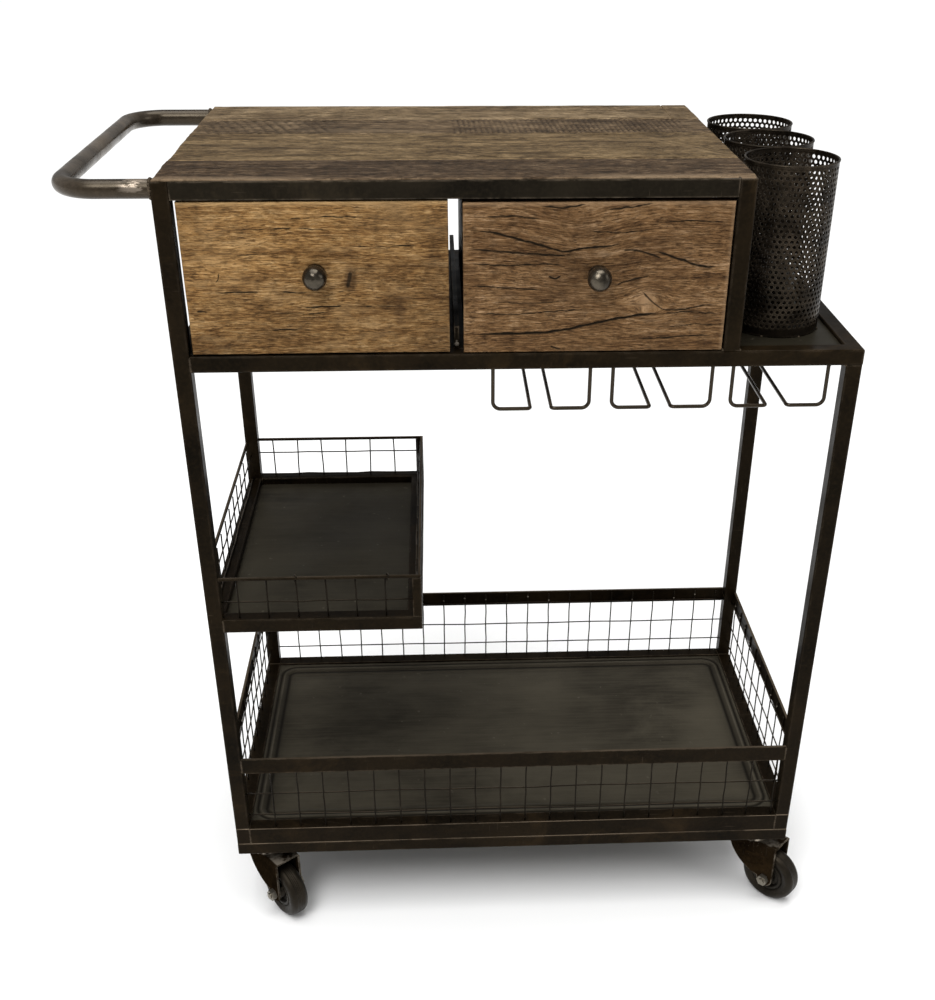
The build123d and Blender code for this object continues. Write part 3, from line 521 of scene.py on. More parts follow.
def board(name, low, high, upward, step, shape, edge_radius, ragged=0):
    """A closed board with a carved upper or front face. shape(u, v, lu, lv) in millimetres gives the
    face's depth, crack, pale and stain values, and its grain line. The grain runs along X."""
    low, high = Vector(low) / MM, Vector(high) / MM
    across, into = ("y", "z") if upward else ("z", "y")
    lu = high.x - low.x
    lv, thick = (getattr(high, axis) - getattr(low, axis) for axis in (across, into))
    columns, rows = max(int(lu / step), 4), max(int(lv / step), 4)
    u, v = np.meshgrid(np.linspace(0, lu, columns + 1), np.linspace(0, lv, rows + 1))
    depth, crack, pale, stain, grain = shape(u, v, lu, lv)
    border = np.minimum(np.minimum(u, lu - u), np.minimum(v, lv - v))
    worn = np.maximum(edge_radius * (1 + 0.8 * fbm(u / 23, v / 23, 5)), 0.4)
    inside = np.clip(1 - border / worn, 0, 1)
    depth = depth + worn * (1 - np.sqrt(np.maximum(1 - inside**2, 0)))
    pale = np.clip(pale + 0.45 * np.clip(1 - border / (worn * 1.4), 0, 1)
                   * patchy(u, v, 17, 17, 77, -0.35, 0.3), 0, 1)
    u = u + 0.5 * ragged * (1 + fbm(v / 26, v * 0, high.y)) * (1 - rise(u, 0, 40))

    def world(uu, vv, down):
        """Metres from millimetres along, across and into the face."""
        if upward:
            return (low.x + uu) * MM, (low.y + vv) * MM, (high.z - down) * MM
        return (low.x + uu) * MM, (low.y + down) * MM, (low.z + vv) * MM

    vertices = list(zip(*(w.ravel() for w in world(u, v, np.minimum(depth, thick * 0.6)))))
    width = columns + 1
    faces = [(a, a + 1, a + width + 1, a + width)
             for r in range(rows) for a in range(r * width, r * width + columns)]
    loop = [*range(columns), *(r * width + columns for r in range(rows)),
            *(rows * width + c for c in range(columns, 0, -1)), *(r * width for r in range(rows, 0, -1))]
    values = {"crack": crack, "pale": pale, "stain": np.clip(stain, 0, 1), "grain": grain * MM}
    values = {key: list(array.ravel()) for key, array in values.items()}
    flat_u, flat_v = u.ravel(), v.ravel()
    previous = loop
    for share in (0.25, 0.55, 0.9, 1):
        down = thick * share
        ring = range(len(vertices), len(vertices) + len(loop))
        for index in loop:
            vertices.append(world(flat_u[index], flat_v[index], down))
            for key, numbers in values.items():
                if key == "grain":
                    numbers.append(numbers[index] + down * MM)
                else:
                    numbers.append(numbers[index] * 0.8 if share < 0.5 and key == "crack" else 0)
        for k in range(len(loop)):
            t = (k + 1) % len(loop)
            faces.append((previous[k], ring[k], ring[t], previous[t]))
        previous = ring
    faces.append(tuple(previous[::-1]))
    obj = from_lists(name, vertices, faces)
    for key, numbers in values.items():
        attribute = obj.data.attributes.new(key, "FLOAT", "POINT")
        attribute.data.foreach_set("value", np.array(numbers, np.float32))
    return obj


def aged(u, v, seed, cracks, bend, rough=0.25, wave=0.35):
    """An old board's depth from slight cupping and raised grain, its cracks' depth and darkness, and its
    grain line with bends of an amount, length and width. All in millimetres."""
    depth = (wave * (1 + fbm(u / 130, v / 45, seed)) * 0.5
             + rough * (1 + fbm(u / 40, v / 1.7, seed + 3)) * 0.5)
    crack, cut = crack_field(u, v, cracks, seed + 10)
    amount, along, across = bend
    return depth, cut, crack, v + amount * fbm(u / along, v / across, seed + 30)


def patchy(u, v, along, across, seed, low, high):
    """Soft patches from 0 to 1, of a size along and across the board."""
    return rise(fbm(u / along, v / across, seed), low, high)


def spot(u, v, centre, size):
    """A soft oval, 1 in its middle."""
    return np.exp(-((u - centre[0]) / size[0]) ** 2 - ((v - centre[1]) / size[1]) ** 2)


def oval(u, v, centre, size, low, high):
    """1 inside an oval's low limit and 0 outside its high one."""
    return 1 - rise(np.hypot((u - centre[0]) / size[0], (v - centre[1]) / size[1]), low, high)


def kerfs(u, v, start, end, pitch, slant, deep, seed):
    """Saw marks across a board between two places along it."""
    wander = 0.7 * value_noise(u / 14, v / 30, seed)
    phase = (u + slant * v + wander) / pitch
    rib = 0.5 + 0.5 * np.cos(2 * pi * phase)
    patch = rise(u, start - 8, start + 8) * (1 - rise(u, end - 10, end + 10))
    patch = patch * (0.45 + 0.55 * rise(fbm(u / 30, v / 18, seed + 2), -0.4, 0.3))
    return rib**2 * patch * deep, patch * rib**2


PLANK_STOPS = (0.10, 0.42, 0.62, 0.90)
DRAWER_STOPS = (0.08, 0.38, 0.62, 0.92)
TONES = {
    "front": ((0.012, 0.007, 0.004), (0.050, 0.030, 0.016), (0.088, 0.055, 0.030), (0.22, 0.155, 0.095)),
    "second": ((0.030, 0.018, 0.008), (0.102, 0.066, 0.031), (0.158, 0.105, 0.050), (0.29, 0.205, 0.110)),
    "third": ((0.022, 0.014, 0.008), (0.080, 0.052, 0.028), (0.130, 0.087, 0.048), (0.26, 0.185, 0.110)),
    "rear": ((0.040, 0.026, 0.013), (0.132, 0.089, 0.046), (0.195, 0.136, 0.074), (0.34, 0.25, 0.15)),
    "left": ((0.060, 0.026, 0.008), (0.185, 0.092, 0.029), (0.300, 0.168, 0.060), (0.50, 0.32, 0.145)),
    "right": ((0.040, 0.018, 0.007), (0.120, 0.061, 0.024), (0.190, 0.106, 0.046), (0.33, 0.21, 0.115)),
}


def front_plank(u, v, lu, lv):
    cracks = [
        (0.8, 0.7, 2, 62, 40, 60, 90, 64, 150, 61), (0.7, 0.6, 10, 44, 60, 47, 110, 43, 190, 46),
        (0.8, 0.7, 0, 26, 45, 30, 120, 27), (0.6, 0.5, 150, 71, 230, 74, 330, 70, 420, 73),
        (0.6, 0.5, 300, 36, 380, 33, 470, 37), (0.5, 0.4, 240, 16, 330, 13, 400, 17),
    ]
    depth, cut, crack, grain = aged(u, v, 11, cracks, (3, 90, 40))
    grey_zone = rise(u, 130, 190) * (1 - rise(u, 330, 420)) * rise(v, 6, 24)
    stain = 0.5 * grey_zone * (0.6 + 0.4 * fbm(u / 40, v / 14, 31))
    stain = stain + 0.22 * (1 - rise(u, 120, 230))
    pale = 0.75 * (1 - rise(v, 3, 15)) * rise(np.abs(u - 270), 90, 190)
    depth = depth + cut + 2.6 * oval(u, v, (556, 2), (26, 9), 0.2, 1)
    return depth, crack, pale, stain, grain


def second_plank(u, v, lu, lv):
    cracks = [
        (1, 1, 395, 3, 430, 5, 480, 3, 530, 6), (0.6, 0.5, 60, 20, 130, 17, 200, 21, 260, 18),
        (1.1, 1.1, 420, 118, 450, 124, 500, 129, 520, 131), (1.2, 1, 300, 12, 318, 14, 330, 12),
        (0.5, 0.4, 20, 72, 70, 75, 140, 70), (0.5, 0.4, 220, 95, 300, 99, 360, 94),
        (0.5, 0.4, 100, 50, 180, 54, 260, 50, 330, 53),
    ]
    depth, cut, crack, grain = aged(u, v, 12, cracks, (6, 110, 60))
    scuff_lines = np.abs(value_noise((u + 0.8 * v) / 3.2, (v - 0.8 * u) / 60, 8))
    scuffs = rise(u, 450, 520) * (1 - rise(scuff_lines, 0.02, 0.16))
    pale = 0.4 * scuffs + 0.25 * patchy(u, v, 60, 10, 52, 0.15, 0.5)
    stain = 0.25 * patchy(u, v, 90, 20, 53, 0.1, 0.5)
    return depth + cut, crack, pale, stain, grain


def third_plank(u, v, lu, lv):
    coarse, coarse_dark = kerfs(u, v, 8, 150, 11, 0.35, 1.3, 3)
    fine, fine_dark = kerfs(u, v, 285, 545, 6, 0.03, 1, 4)
    cracks = [
        (1.4, 1.4, 0, 74, 60, 77, 130, 73, 190, 77, 250, 66), (0.9, 0.9, 150, 70, 230, 60, 300, 58),
        (1.5, 1.6, 470, 70, 520, 76, 571, 74), (0.8, 0.7, 0, 6, 60, 4, 140, 6, 220, 4),
        (1.1, 1, 400, 12, 460, 16, 520, 12),
    ]
    depth, cut, crack, grain = aged(u, v, 13, cracks, (4, 100, 50))
    crack = np.maximum(crack, 0.6 * coarse_dark)
    between = rise(u, 100, 130) * (1 - rise(u, 150, 175))
    stain = 0.75 * fine_dark + 0.4 * between
    pale = 0.35 * patchy(u, v, 50, 12, 54, 0.1, 0.5)
    return depth + cut + coarse + fine, crack, pale, stain, grain


def rear_plank(u, v, lu, lv):
    cracks = [
        (0.7, 0.6, 20, 20, 90, 24, 170, 19, 250, 23), (0.6, 0.5, 120, 60, 200, 63, 290, 59),
        (0.7, 0.6, 330, 34, 400, 37, 470, 33), (0.8, 0.7, 440, 60, 480, 52, 500, 40),
    ]
    depth, cut, crack, grain = aged(u, v, 14, cracks, (5, 100, 50))
    pale = 0.3 * patchy(u, v, 70, 15, 55, 0.1, 0.5)
    stain = 0.2 * patchy(u, v, 70, 25, 56, 0.1, 0.5)
    return depth + cut, crack, pale, stain, grain


def end_block(u, v, lu, lv):
    depth, cut, crack, grain = aged(u, v, 15, [(0.6, 0.5, 4, 20, 14, 22, 28, 19)], (3, 60, 40))
    return depth + cut, crack, 0 * u, 0 * u + 0.1, grain + 40


def build_planks():
    shapes = {"front": front_plank, "second": second_plank, "third": third_plank, "rear": rear_plank}
    for number, (key, shape) in enumerate(shapes.items()):
        node = f"top_plank_{key}"
        low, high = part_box(node)
        stops = list(zip(PLANK_STOPS, TONES[key]))
        material = wood(f"wood_{node}", stops, (0.42, 0.38, 0.36), 0.7, 3.1 * number)
        if key == "rear":
            joint = high.x - 30 * MM
            block = board("top_end_block", (joint, low.y, low.z), high, True, 1.2, end_block, 0.8)
            block_wood = wood("wood_top_end_block", stops, (0.5, 0.45, 0.4), 0.7, 9.9)
            place(block, CART, block_wood, "plank_wood", node)
            high = Vector((joint - 0.25 * MM, high.y, high.z))
        obj = board(f"{node}_wood", low, high, True, 1.2, shape, 1.6, ragged=2.2)
        place(obj, CART, material, "plank_wood", node)


def left_front(u, v, lu, lv):
    cracks = [
        (0.6, 0.6, 20, 62, 60, 63, 110, 62, 128, 63), (0.7, 0.7, 108, 47, 150, 48, 210, 47),
        (0.5, 0.5, 66, 42, 110, 41, 140, 42), (0.6, 0.6, 62, 24, 100, 25, 128, 24),
        (0.5, 0.5, 60, 123, 110, 124, 150, 122), (0.5, 0.5, 95, 132, 150, 135, 200, 132),
        (0.4, 0.3, 30, 72, 33, 76, 34, 82), (0.9, 0.5, 8, 44, 14, 44, 20, 43),
        (0.5, 0.4, 150, 108, 190, 106, 230, 108), (0.4, 0.4, 40, 98, 80, 100, 112, 98),
    ]
    depth, cut, crack, grain = aged(u, v, 16, cracks, (2.2, 70, 40), rough=0.3, wave=0.25)
    short = patchy(u, v, 11, 9, 71, -0.25, 0.1)
    knot_crack, knot_cut = crack_field(u, v, [(1.5, 0.7, 157, 66, 159, 74, 161, 83)], 28)
    crack = np.maximum(crack * (0.25 + 0.75 * short), 0.85 * knot_crack)
    cut = cut * (0.25 + 0.75 * short) + knot_cut
    knot = oval(u, v, (160, 74), (7, 14), 0.45, 1.25)
    corner = oval(u, v, (14, 138), (22, 16), 0.3, 1.2)
    right_side = rise(u + 0.5 * v, 170, 290) * (0.5 + 0.5 * fbm(u / 35, v / 30, 61))
    below = rise(70 - v + 0.18 * u + 16 * fbm(u / 45, v / 30, 64), -10, 75)
    smudge = 0.35 * oval(u, v, (207, 42), (7, 16), 0.3, 1.3)
    stain = np.maximum(0.85 * knot, 0.45 * corner) + 0.45 * right_side + 0.4 * below + smudge
    stain = np.clip(stain + 0.35 * spot(u, v, (243, 92), (11, 26)), 0, 0.85)
    golden = 0.34 * spot(u, v, (212, 132), (36, 15)) + 0.22 * spot(u, v, (40, 98), (32, 36))
    chip = 0.8 * spot(u, v, (237, 139), (2.6, 1.6))
    pale = 0.6 * rise(v, lv - 5, lv - 1) + 0.25 * patchy(u, v, 30, 8, 62, 0.15, 0.5)
    pale = pale + golden * (0.55 + 0.45 * fbm(u / 14, v / 5, 66)) + chip
    return depth + cut, crack, pale, stain, grain


def right_front(u, v, lu, lv):
    cracks = [
        (0.95, 1.1, 1, 122, 26, 120, 50, 114, 76, 107, 98, 101, 118, 104, 140, 106, 158, 109),
        (0.75, 0.8, 1, 105, 40, 101, 80, 98, 112, 98), (0.6, 0.6, 1, 90, 40, 88, 80, 89, 100, 88),
        (0.6, 0.6, 1, 68, 40, 66, 82, 63),
        (1.2, 1.5, 1, 19, 40, 19, 80, 20, 118, 26, 150, 33, 180, 38, 200, 38),
        (0.8, 0.8, 152, 103, 175, 100, 196, 92), (1, 1, 184, 101, 205, 95, 232, 86, 250, 85),
        (0.6, 0.6, 258, 49, 235, 46, 212, 42, 196, 44, 182, 55, 174, 64),
        (0.5, 0.5, 196, 38, 225, 40, 258, 37), (0.6, 0.6, 18, 134, 50, 135, 76, 132),
        (0.7, 0.6, 74, 144, 96, 143, 120, 146), (0.7, 0.6, 136, 141, 160, 143, 184, 147),
        (0.6, 0.6, 148, 67, 166, 73, 186, 77), (0.5, 0.5, 120, 121, 150, 119, 185, 122),
        (0.5, 0.5, 10, 41, 50, 39, 90, 42, 130, 44), (0.6, 0.6, 170, 12, 210, 14, 255, 16),
        (0.8, 0.6, 82, 77, 90, 75, 96, 78), (0.8, 0.6, 86, 6, 92, 4, 98, 2),
        (0.5, 0.5, 190, 128, 225, 130, 258, 127), (0.4, 0.4, 30, 52, 70, 50, 110, 53),
        (0.4, 0.4, 200, 24, 230, 27, 256, 26),
    ]
    depth, cut, crack, grain = aged(u, v, 17, cracks, (2.5, 60, 40), rough=0.3, wave=0.3)
    push = spot(u, v, (184, 48), (17, 13)) ** 0.7
    dip = np.exp(-((u - 110) / 45) ** 2)
    parted = 13 * push * np.sign(v - 48) * rise(np.abs(v - 48), 0, 12)
    grain = grain + 9 * dip * rise(v, 20, 130) - parted
    stain = 0.35 * spot(u, v, (105, 78), (38, 45)) + 0.25 * patchy(u, v, 40, 14, 63, 0.1, 0.5)
    eye = spot(u, v, (180, 53), (9, 8))
    pale = 0.7 * eye + 0.5 * rise(v, lv - 5, lv - 1) + 0.4 * rise(u, lu - 5, lu - 1)
    return depth + cut, crack, pale, stain, grain


def build_drawer_fronts():
    looks = (("left", left_front, (0.50, 0.48, 0.50), 0.75, 31, 0.55),
             ("right", right_front, (0.52, 0.47, 0.44), 0.6, 41, 0.6))
    for side, shape, *settings in looks:
        node = f"drawer_{side}_front"
        material = wood(f"wood_drawer_{side}", list(zip(DRAWER_STOPS, TONES[side])), *settings)
        obj = board(f"{node}_wood", *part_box(node), False, 0.65, shape, 1.3)
        place(obj, f"drawer_{side}", material, f"drawer_wood_{side}", node)


# ---- knobs
def build_knobs():
    """Hammered knobs: a ball on a wide collar, with shallow facets."""
    ball, reach = 12 * MM, 25 * MM
    collar = ((8, 16.5), (8, 18), (9.3, 19.2), (10.1, 20.3), (10.5, 21.6))
    profile = [(0, 0)]
    for k in range(1, 19):
        a = radians(-90 + k * 107 / 18)
        profile.append((ball * cos(a), (12 + 12 * sin(a)) * MM))
    profile += [(r * MM, h * MM) for r, h in collar] + [(10.5 * MM, reach), (0, reach)]
    for number, side in enumerate(("left", "right")):
        node = f"drawer_{side}_knob"
        low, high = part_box(node)
        centre = Vector(((low.x + high.x) / 2, low.y, (low.z + high.z) / 2))
        obj = revolved(f"{node}_iron", profile, centre, (0, 1, 0), (1, 0, 0), 56)
        rng = random.Random(70 + number)
        dents = [(rng.uniform(0, 2 * pi), rng.uniform(0.2, 1)) for _ in range(26)]
        for vertex in obj.data.vertices:
            out = vertex.co - centre
            around = atan2(out.z, out.x)
            radius = hypot(out.x, out.z) / ball
            sink = max(1 - hypot(radius * cos(around) - ring * cos(angle),
                                      radius * sin(around) - ring * sin(angle)) / 0.28
                       for angle, ring in dents)
            if out.y < 0.6 * reach:
                vertex.co.y += 0.28 * MM * max(sink, 0)
        place(obj, f"drawer_{side}", knob_iron, "knob_iron", node)


# ---- cups
def build_cup(node, seed):
    """A cup of perforated sheet: staggered round holes, a plain foot and a rolled rim."""
    low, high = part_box(node)
    centre = Vector(((low.x + high.x) / 2, (low.y + high.y) / 2, low.z))
    height = high.z - low.z
    outer, inner, rim = CUP_RADIUS, CUP_RADIUS - CUP_SHEET, 1.1 * MM
    hole, pitch, foot, collar = 2 * MM, 6 * MM, 9.5 * MM, 3.4 * MM
    columns = int(round(2 * pi * outer / pitch))
    around = 2 * columns
    half_step = pi / columns
    row_height = pitch * sin(radians(60))
    rows = int((height - foot - collar) / row_height)
    clock = [radians(30 * s) for s in range(12)]
    bm = bmesh.new()
    lean = random.Random(seed).uniform(-0.4, 0.4) * MM

    def at(angle, level, radius):
        share = level / height
        radius *= 1 + 0.006 * sin(2 * angle + seed) * share
        return bm.verts.new(centre + Vector((radius * cos(angle) + lean * share,
                                             radius * sin(angle), level)))

    def circle(level, radius):
        return [at(k * half_step, level, radius) for k in range(around)]

    skins = [(radius, [circle(foot + line * row_height, radius) for line in range(rows + 1)])
             for radius in (outer, inner)]
    for row in range(rows):
        for column in range(columns):
            middle = 2 * column + 1 + row % 2
            level = foot + (row + 0.5) * row_height
            rings = []
            for radius, lines in skins:
                ring = [at(middle * half_step + hole * cos(a) / outer,
                           level + hole * sin(a), radius) for a in clock]
                rings.append(ring)
                border = [lines[row + up][(middle + side) % around]
                          for up, side in ((0, 1), (1, 1), (1, 0), (1, -1), (0, -1), (0, 0))]
                for side in range(6):
                    arc = [ring[(11 + 2 * side + s) % 12] for s in (2, 1, 0)]
                    bm.faces.new([border[side], border[(side + 1) % 6], *arc])
            band(bm, *rings)
    (_, outside), (_, inside) = skins
    bottom, chamfer = circle(0, outer - MM), circle(MM, outer)
    floor = circle(1.2 * MM, inner)
    bead = [circle(height - rim + rim * sin(a), (outer + inner) / 2 + 0.3 * MM + rim * cos(a))
            for a in (radians(-70 + step * 40) for step in range(9))]
    upper, outer_upper = circle(height - 2 * rim, inner), circle(height - 2 * rim, outer)
    for below, above in ((bottom, chamfer), (chamfer, outside[0]), (outside[-1], outer_upper),
                         (outer_upper, bead[0]), *zip(bead, bead[1:]), (bead[-1], upper),
                         (upper, inside[-1]), (inside[0], floor)):
        band(bm, below, above)
    for ring, middle_vertex in ((bottom, at(0, 0, 0)), (floor, at(0, 1.2 * MM, 0))):
        for k in range(around):
            bm.faces.new((ring[k], ring[(k + 1) % around], middle_vertex))
    place(from_bmesh(f"{node}_perforated", bm, smooth=False), CART, cup_steel, "cup_steel", node)


# ---- wire mesh
def wavy(a, b, rng, sway, spacing=14 * MM):
    """Points from a to b with the small bends of hand-cut wire."""
    a, b = Vector(a), Vector(b)
    count = max(int((b - a).length / spacing), 2)
    phases = [rng.uniform(0, 6.28) for _ in range(6)]
    points = []
    for k in range(count + 1):
        t = k / count
        fade = sin(pi * t) ** 0.5 if 0 < t < 1 else 0
        shift = Vector([sway * (0.6 * sin(5.1 * t * 3 + slow) + 0.4 * sin(11.3 * t * 3 + fast))
                        for slow, fast in zip(phases, phases[3:])])
        points.append(a + (b - a) * t + shift * fade)
    return points


def build_mesh(node, columns, rows, along, inside, tips):
    """A welded wire panel in the place of a frame panel, from the same wires with small bends."""
    low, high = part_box(node)
    rng = random.Random(sum(ord(c) for c in node))
    bm = bmesh.new()
    side_axis = 0 if along == "x" else 1
    depth_axis = 1 - side_axis
    outer = (low[depth_axis] if inside > 0 else high[depth_axis]) + inside * WIRE_RADIUS
    inner = outer + inside * 1.4 * MM

    def point(along_, level, depth):
        return (along_, depth, level) if side_axis == 0 else (depth, along_, level)

    for column in columns:
        lean = rng.uniform(-1.2, 1.2) * MM
        foot = point(column + lean * 0.5, low.z + WIRE_RADIUS * 0.2, outer)
        head = point(column - lean * 0.5, high.z - WIRE_RADIUS * 0.2, outer)
        add_tube(bm, wavy(foot, head, rng, 0.45 * MM), WIRE_RADIUS)
    for level in rows:
        ends = (point(end[side_axis], level, inner) for end in (low, high))
        add_tube(bm, wavy(*ends, rng, 0.7 * MM, 20 * MM), WIRE_RADIUS)
    for tip, reach in tips:
        route = [point(tip, high.z - 6 * MM, outer), point(tip, high.z + 1.5 * MM, outer),
                 point(tip + MM, high.z + 3 * MM, outer - inside * 1.5 * MM),
                 point(tip + 2 * MM, high.z + 2.2 * MM, outer - inside * reach)]
        add_tube(bm, smooth_curve(route, 5), WIRE_RADIUS)
    place(from_bmesh(f"{node}_wires", bm), CART, mesh_steel, "mesh_wire", node)


def even(first, pitch, end):
    """Places from the first, a pitch apart, before the end."""
    places = []
    while first < end:
        places.append(first)
        first += pitch
    return places


def build_all_mesh():
    limit_x, limit_y = RIGHT - TUBE - 1.8 * MM, BACK - TUBE - 1.8 * MM
    upper_limit, upper_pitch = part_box("upper_mesh_front")[1].x, 33 * MM
    front_rows, back_rows, upper_front, upper_back = (
        [BASE + h * MM for h in heights]
        for heights in ((60.5, 94, 131.5), (64.7, 98, 133.6), (370,), (352.5, 384.5)))
    lower_y = even(FRONT + 34 * MM, WIRE_PITCH, limit_y)
    upper_x = even(LEFT + 35.8 * MM, upper_pitch, upper_limit)
    upper_y = even(FRONT + 43 * MM, upper_pitch, limit_y)
    tips = ((LEFT + 101 * MM, 5 * MM), (LEFT + 203 * MM, 6 * MM))
    for node, *settings in (
        ("lower_mesh_front", even(LEFT + 50.1 * MM, WIRE_PITCH, limit_x), front_rows, "x", 1, ()),
        ("lower_mesh_back", even(LEFT + 46.2 * MM, WIRE_PITCH, limit_x), back_rows, "x", -1, ()),
        ("lower_mesh_left", lower_y, back_rows, "y", 1, ()),
        ("lower_mesh_right", lower_y, back_rows, "y", -1, ()),
        ("upper_mesh_front", upper_x, upper_front, "x", 1, tips),
        ("upper_mesh_back", upper_x, upper_back, "x", -1, ()),
        ("upper_mesh_left", upper_y, upper_back, "y", 1, ()),
        ("upper_mesh_right", upper_y, upper_back, "y", -1, ()),
    ):
        build_mesh(node, *settings)


# ---- welds
def add_bead(bm, a, b, radius, rng):
    """A lumpy weld bead from a to b."""
    a, b = Vector(a), Vector(b)
    count = max(int((b - a).length / (radius * 0.8)), 1)
    for k in range(count + 1):
        centre = a + (b - a) * (k / count)
        centre += Vector([rng.uniform(-1, 1) * radius * 0.15 for _ in range(3)])
        made = bmesh.ops.create_icosphere(bm, subdivisions=2, radius=radius * rng.uniform(0.75, 1.15))
        for vertex in made["verts"]:
            vertex.co = vertex.co * (1 + rng.uniform(-0.06, 0.06)) + centre


def build_welds():
    """Beads where the tubes meet, blobs along the base seam, and spot welds on the cups and slots."""
    rng = random.Random(5)
    bm = bmesh.new()
    size = 1.5 * MM
    middle_low, middle_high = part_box("middle_frame")
    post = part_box("post_front")[0].x

    def upright(x, y, node):
        low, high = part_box(node)
        add_bead(bm, (x, y, low.z + 2 * MM), (x, y, high.z - 2 * MM), size * 0.8, rng)

    def dot(x, y, z, radius):
        add_bead(bm, (x, y, z), (x, y, z), radius, rng)

    for y, inward in ((FRONT, 1), (BACK, -1)):
        for x in (LEFT + TUBE, RIGHT - TUBE):
            for node in ("lower_floor_frame", "lower_rim"):
                upright(x, y + inward * 0.6 * MM, node)
        for node in ("middle_frame", "upper_frame"):
            upright(LEFT + TUBE, y + inward * 0.5 * MM, node)
        for x, level in ((post, middle_high.z + 0.3 * MM), (post + TUBE, middle_high.z + 0.3 * MM),
                         (RIGHT - TUBE, middle_low.z - 0.3 * MM)):
            add_bead(bm, (x, y + inward * 2 * MM, level), (x, y + inward * 15 * MM, level), size, rng)
    for x, length in ((44, 10), (184, 26), (212, 6), (366, 24), (520, 9), (655, 14)):
        start, end = LEFT + x * MM, LEFT + x * MM + length * MM
        y = FRONT + MM
        add_bead(bm, (start, y, BASE_TOP), (end, y, BASE_TOP), size * rng.uniform(0.6, 0.9), rng)
        y = BACK - MM
        add_bead(bm, (start, y, BASE_TOP), (end, y, BASE_TOP), size * 0.7, rng)
    for x, places in ((LEFT + MM, (60, 190, 310)), (RIGHT - MM, (50, 210, 330))):
        for y in places:
            add_bead(bm, (x, FRONT + y * MM, BASE_TOP), (x, FRONT + (y + 16) * MM, BASE_TOP),
                     size * 0.8, rng)
    grip_low, grip_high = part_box("handle")
    level = (grip_low.z + grip_high.z) / 2
    for y in (FRONT + 9 * MM, BACK - 9 * MM):
        for a in map(radians, range(0, 360, 18)):
            dot(LEFT - 0.5 * MM, y + 9 * MM * cos(a), level + 9 * MM * sin(a), size * 1.1)
    for node in CUPS:
        low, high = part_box(node)
        centre = (low + high) / 2
        for degrees in (200, 250, 300, 340, 20, 90, 150):
            a = radians(degrees + rng.uniform(-8, 8))
            dot(centre.x + 47.3 * MM * cos(a), centre.y + 47.3 * MM * sin(a), low.z + 0.5 * MM,
                size * 0.9)
    for side in ("left", "middle", "right"):
        low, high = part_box(f"glass_slot_{side}")
        for x in (low.x + 2 * MM, high.x - 2 * MM):
            for y in (low.y + 2 * MM, high.y - 2 * MM):
                dot(x, y, high.z - 0.6 * MM, 2.6 * MM)
    place(from_bmesh("frame_welds", bm), CART, weld_steel, "frame_steel")


def build_mesh_welds():
    """Small pale dots where the wires are welded to the rims, and a painted glint of three pale dots at
    the centre runner's front end.
    """
    rng = random.Random(9)
    bm = bmesh.new()
    rim_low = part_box("lower_rim")[0].z

    def dot(x, y, z, radius=1.2 * MM):
        add_bead(bm, (x, y, z), (x, y, z), radius, rng)

    for y in even(FRONT + 34 * MM, WIRE_PITCH, BACK - 20 * MM):
        for x in (LEFT + 4.6 * MM, RIGHT - 4.6 * MM):
            if rng.random() < 0.8:
                dot(x, y + rng.uniform(-1, 1) * MM, rim_low + rng.uniform(5, 13) * MM)
    for x in even(LEFT + 46.2 * MM, WIRE_PITCH, RIGHT - 20 * MM):
        for y in (BACK - 4.6 * MM, FRONT + 4.6 * MM):
            if rng.random() < 0.6:
                dot(x, y, rim_low + rng.uniform(5, 14) * MM)
    # Painted glint: three pale dots, smaller upwards, at the front end of the centre runner between the
    # drawers.
    for height in (5, 8, 11):
        dot(LEFT + 284 * MM, FRONT + 18.5 * MM, BASE + (660 + height) * MM, (4.4 - 0.28 * height) * MM)
    place(from_bmesh("mesh_welds", bm), CART, spot_steel, "mesh_wire")


# ---- wheels
def mirrored(side, middle):
    """A whole profile from one side's (radius, distance out) and the middle."""
    return [(r, -h) for r, h in side] + middle + [(r, h) for r, h in reversed(side)]


def build_wheels():
    """Tyres with fine ribs round them and rounded shoulders, on hubs with a stepped web."""
    outer, half, shoulder, ribs = 37 * MM, 12.5 * MM, 8 * MM, 4
    side = [(r * MM, h * MM) for r, h in ((21, 9.5), (24, 10.8), (27, 12))]
    side += [(outer - shoulder + shoulder * cos(a), half - shoulder + shoulder * sin(a))
             for a in (radians(90 - k * 15) for k in range(7))]
    span = 2 * (half - shoulder)
    rib = ((0.05, 0.15), (0, 0.5), (0.05, 0.85), (0.7, 0.97))
    tread = [(outer - sink * MM, -half + shoulder + span * k / ribs + span * share / ribs)
             for k in range(ribs) for sink, share in rib]
    hub_side = [(r * MM, h * MM) for r, h in (
        (4.1, 14.8), (8.2, 14.8), (9, 14), (9.3, 6), (10.5, 4.6), (15.5, 4.6), (16.8, 6), (17.2, 10),
        (18, 10.6), (20.9, 10.2))]
    for joint in frame["joints"]:
        if not joint["name"].endswith("_roll"):
            continue
        name = joint["name"][: -len("_roll")]
        for kind, profile, steps, material in (("tyre", mirrored(side, tread), 96, tyre_rubber),
                                               ("hub", mirrored(hub_side, []), 64, hub_plastic)):
            obj = revolved(f"{name}_{kind}", profile, joint["pos_m"], joint["axis"], (0, 0, 1), steps)
            place(obj, joint["child"], material, "wheel_rubber", f"{name}_wheel")


# ---- lower tray
NOTCH = 11.1 * MM


def tray_lines(low, high):
    """Grid lines across the tray, close together near its edges where the pressing is."""
    near = [k * 1.6 * MM for k in range(1, 38)]
    near = sorted([0, NOTCH] + [d for d in near if abs(d - NOTCH) > 0.7 * MM])
    middle = low + near[-1], high - near[-1]
    count = round((middle[1] - middle[0]) / (12 * MM))
    between = [middle[0] + (middle[1] - middle[0]) * k / count for k in range(1, count)]
    return [low + d for d in near] + between + [high - d for d in reversed(near)]


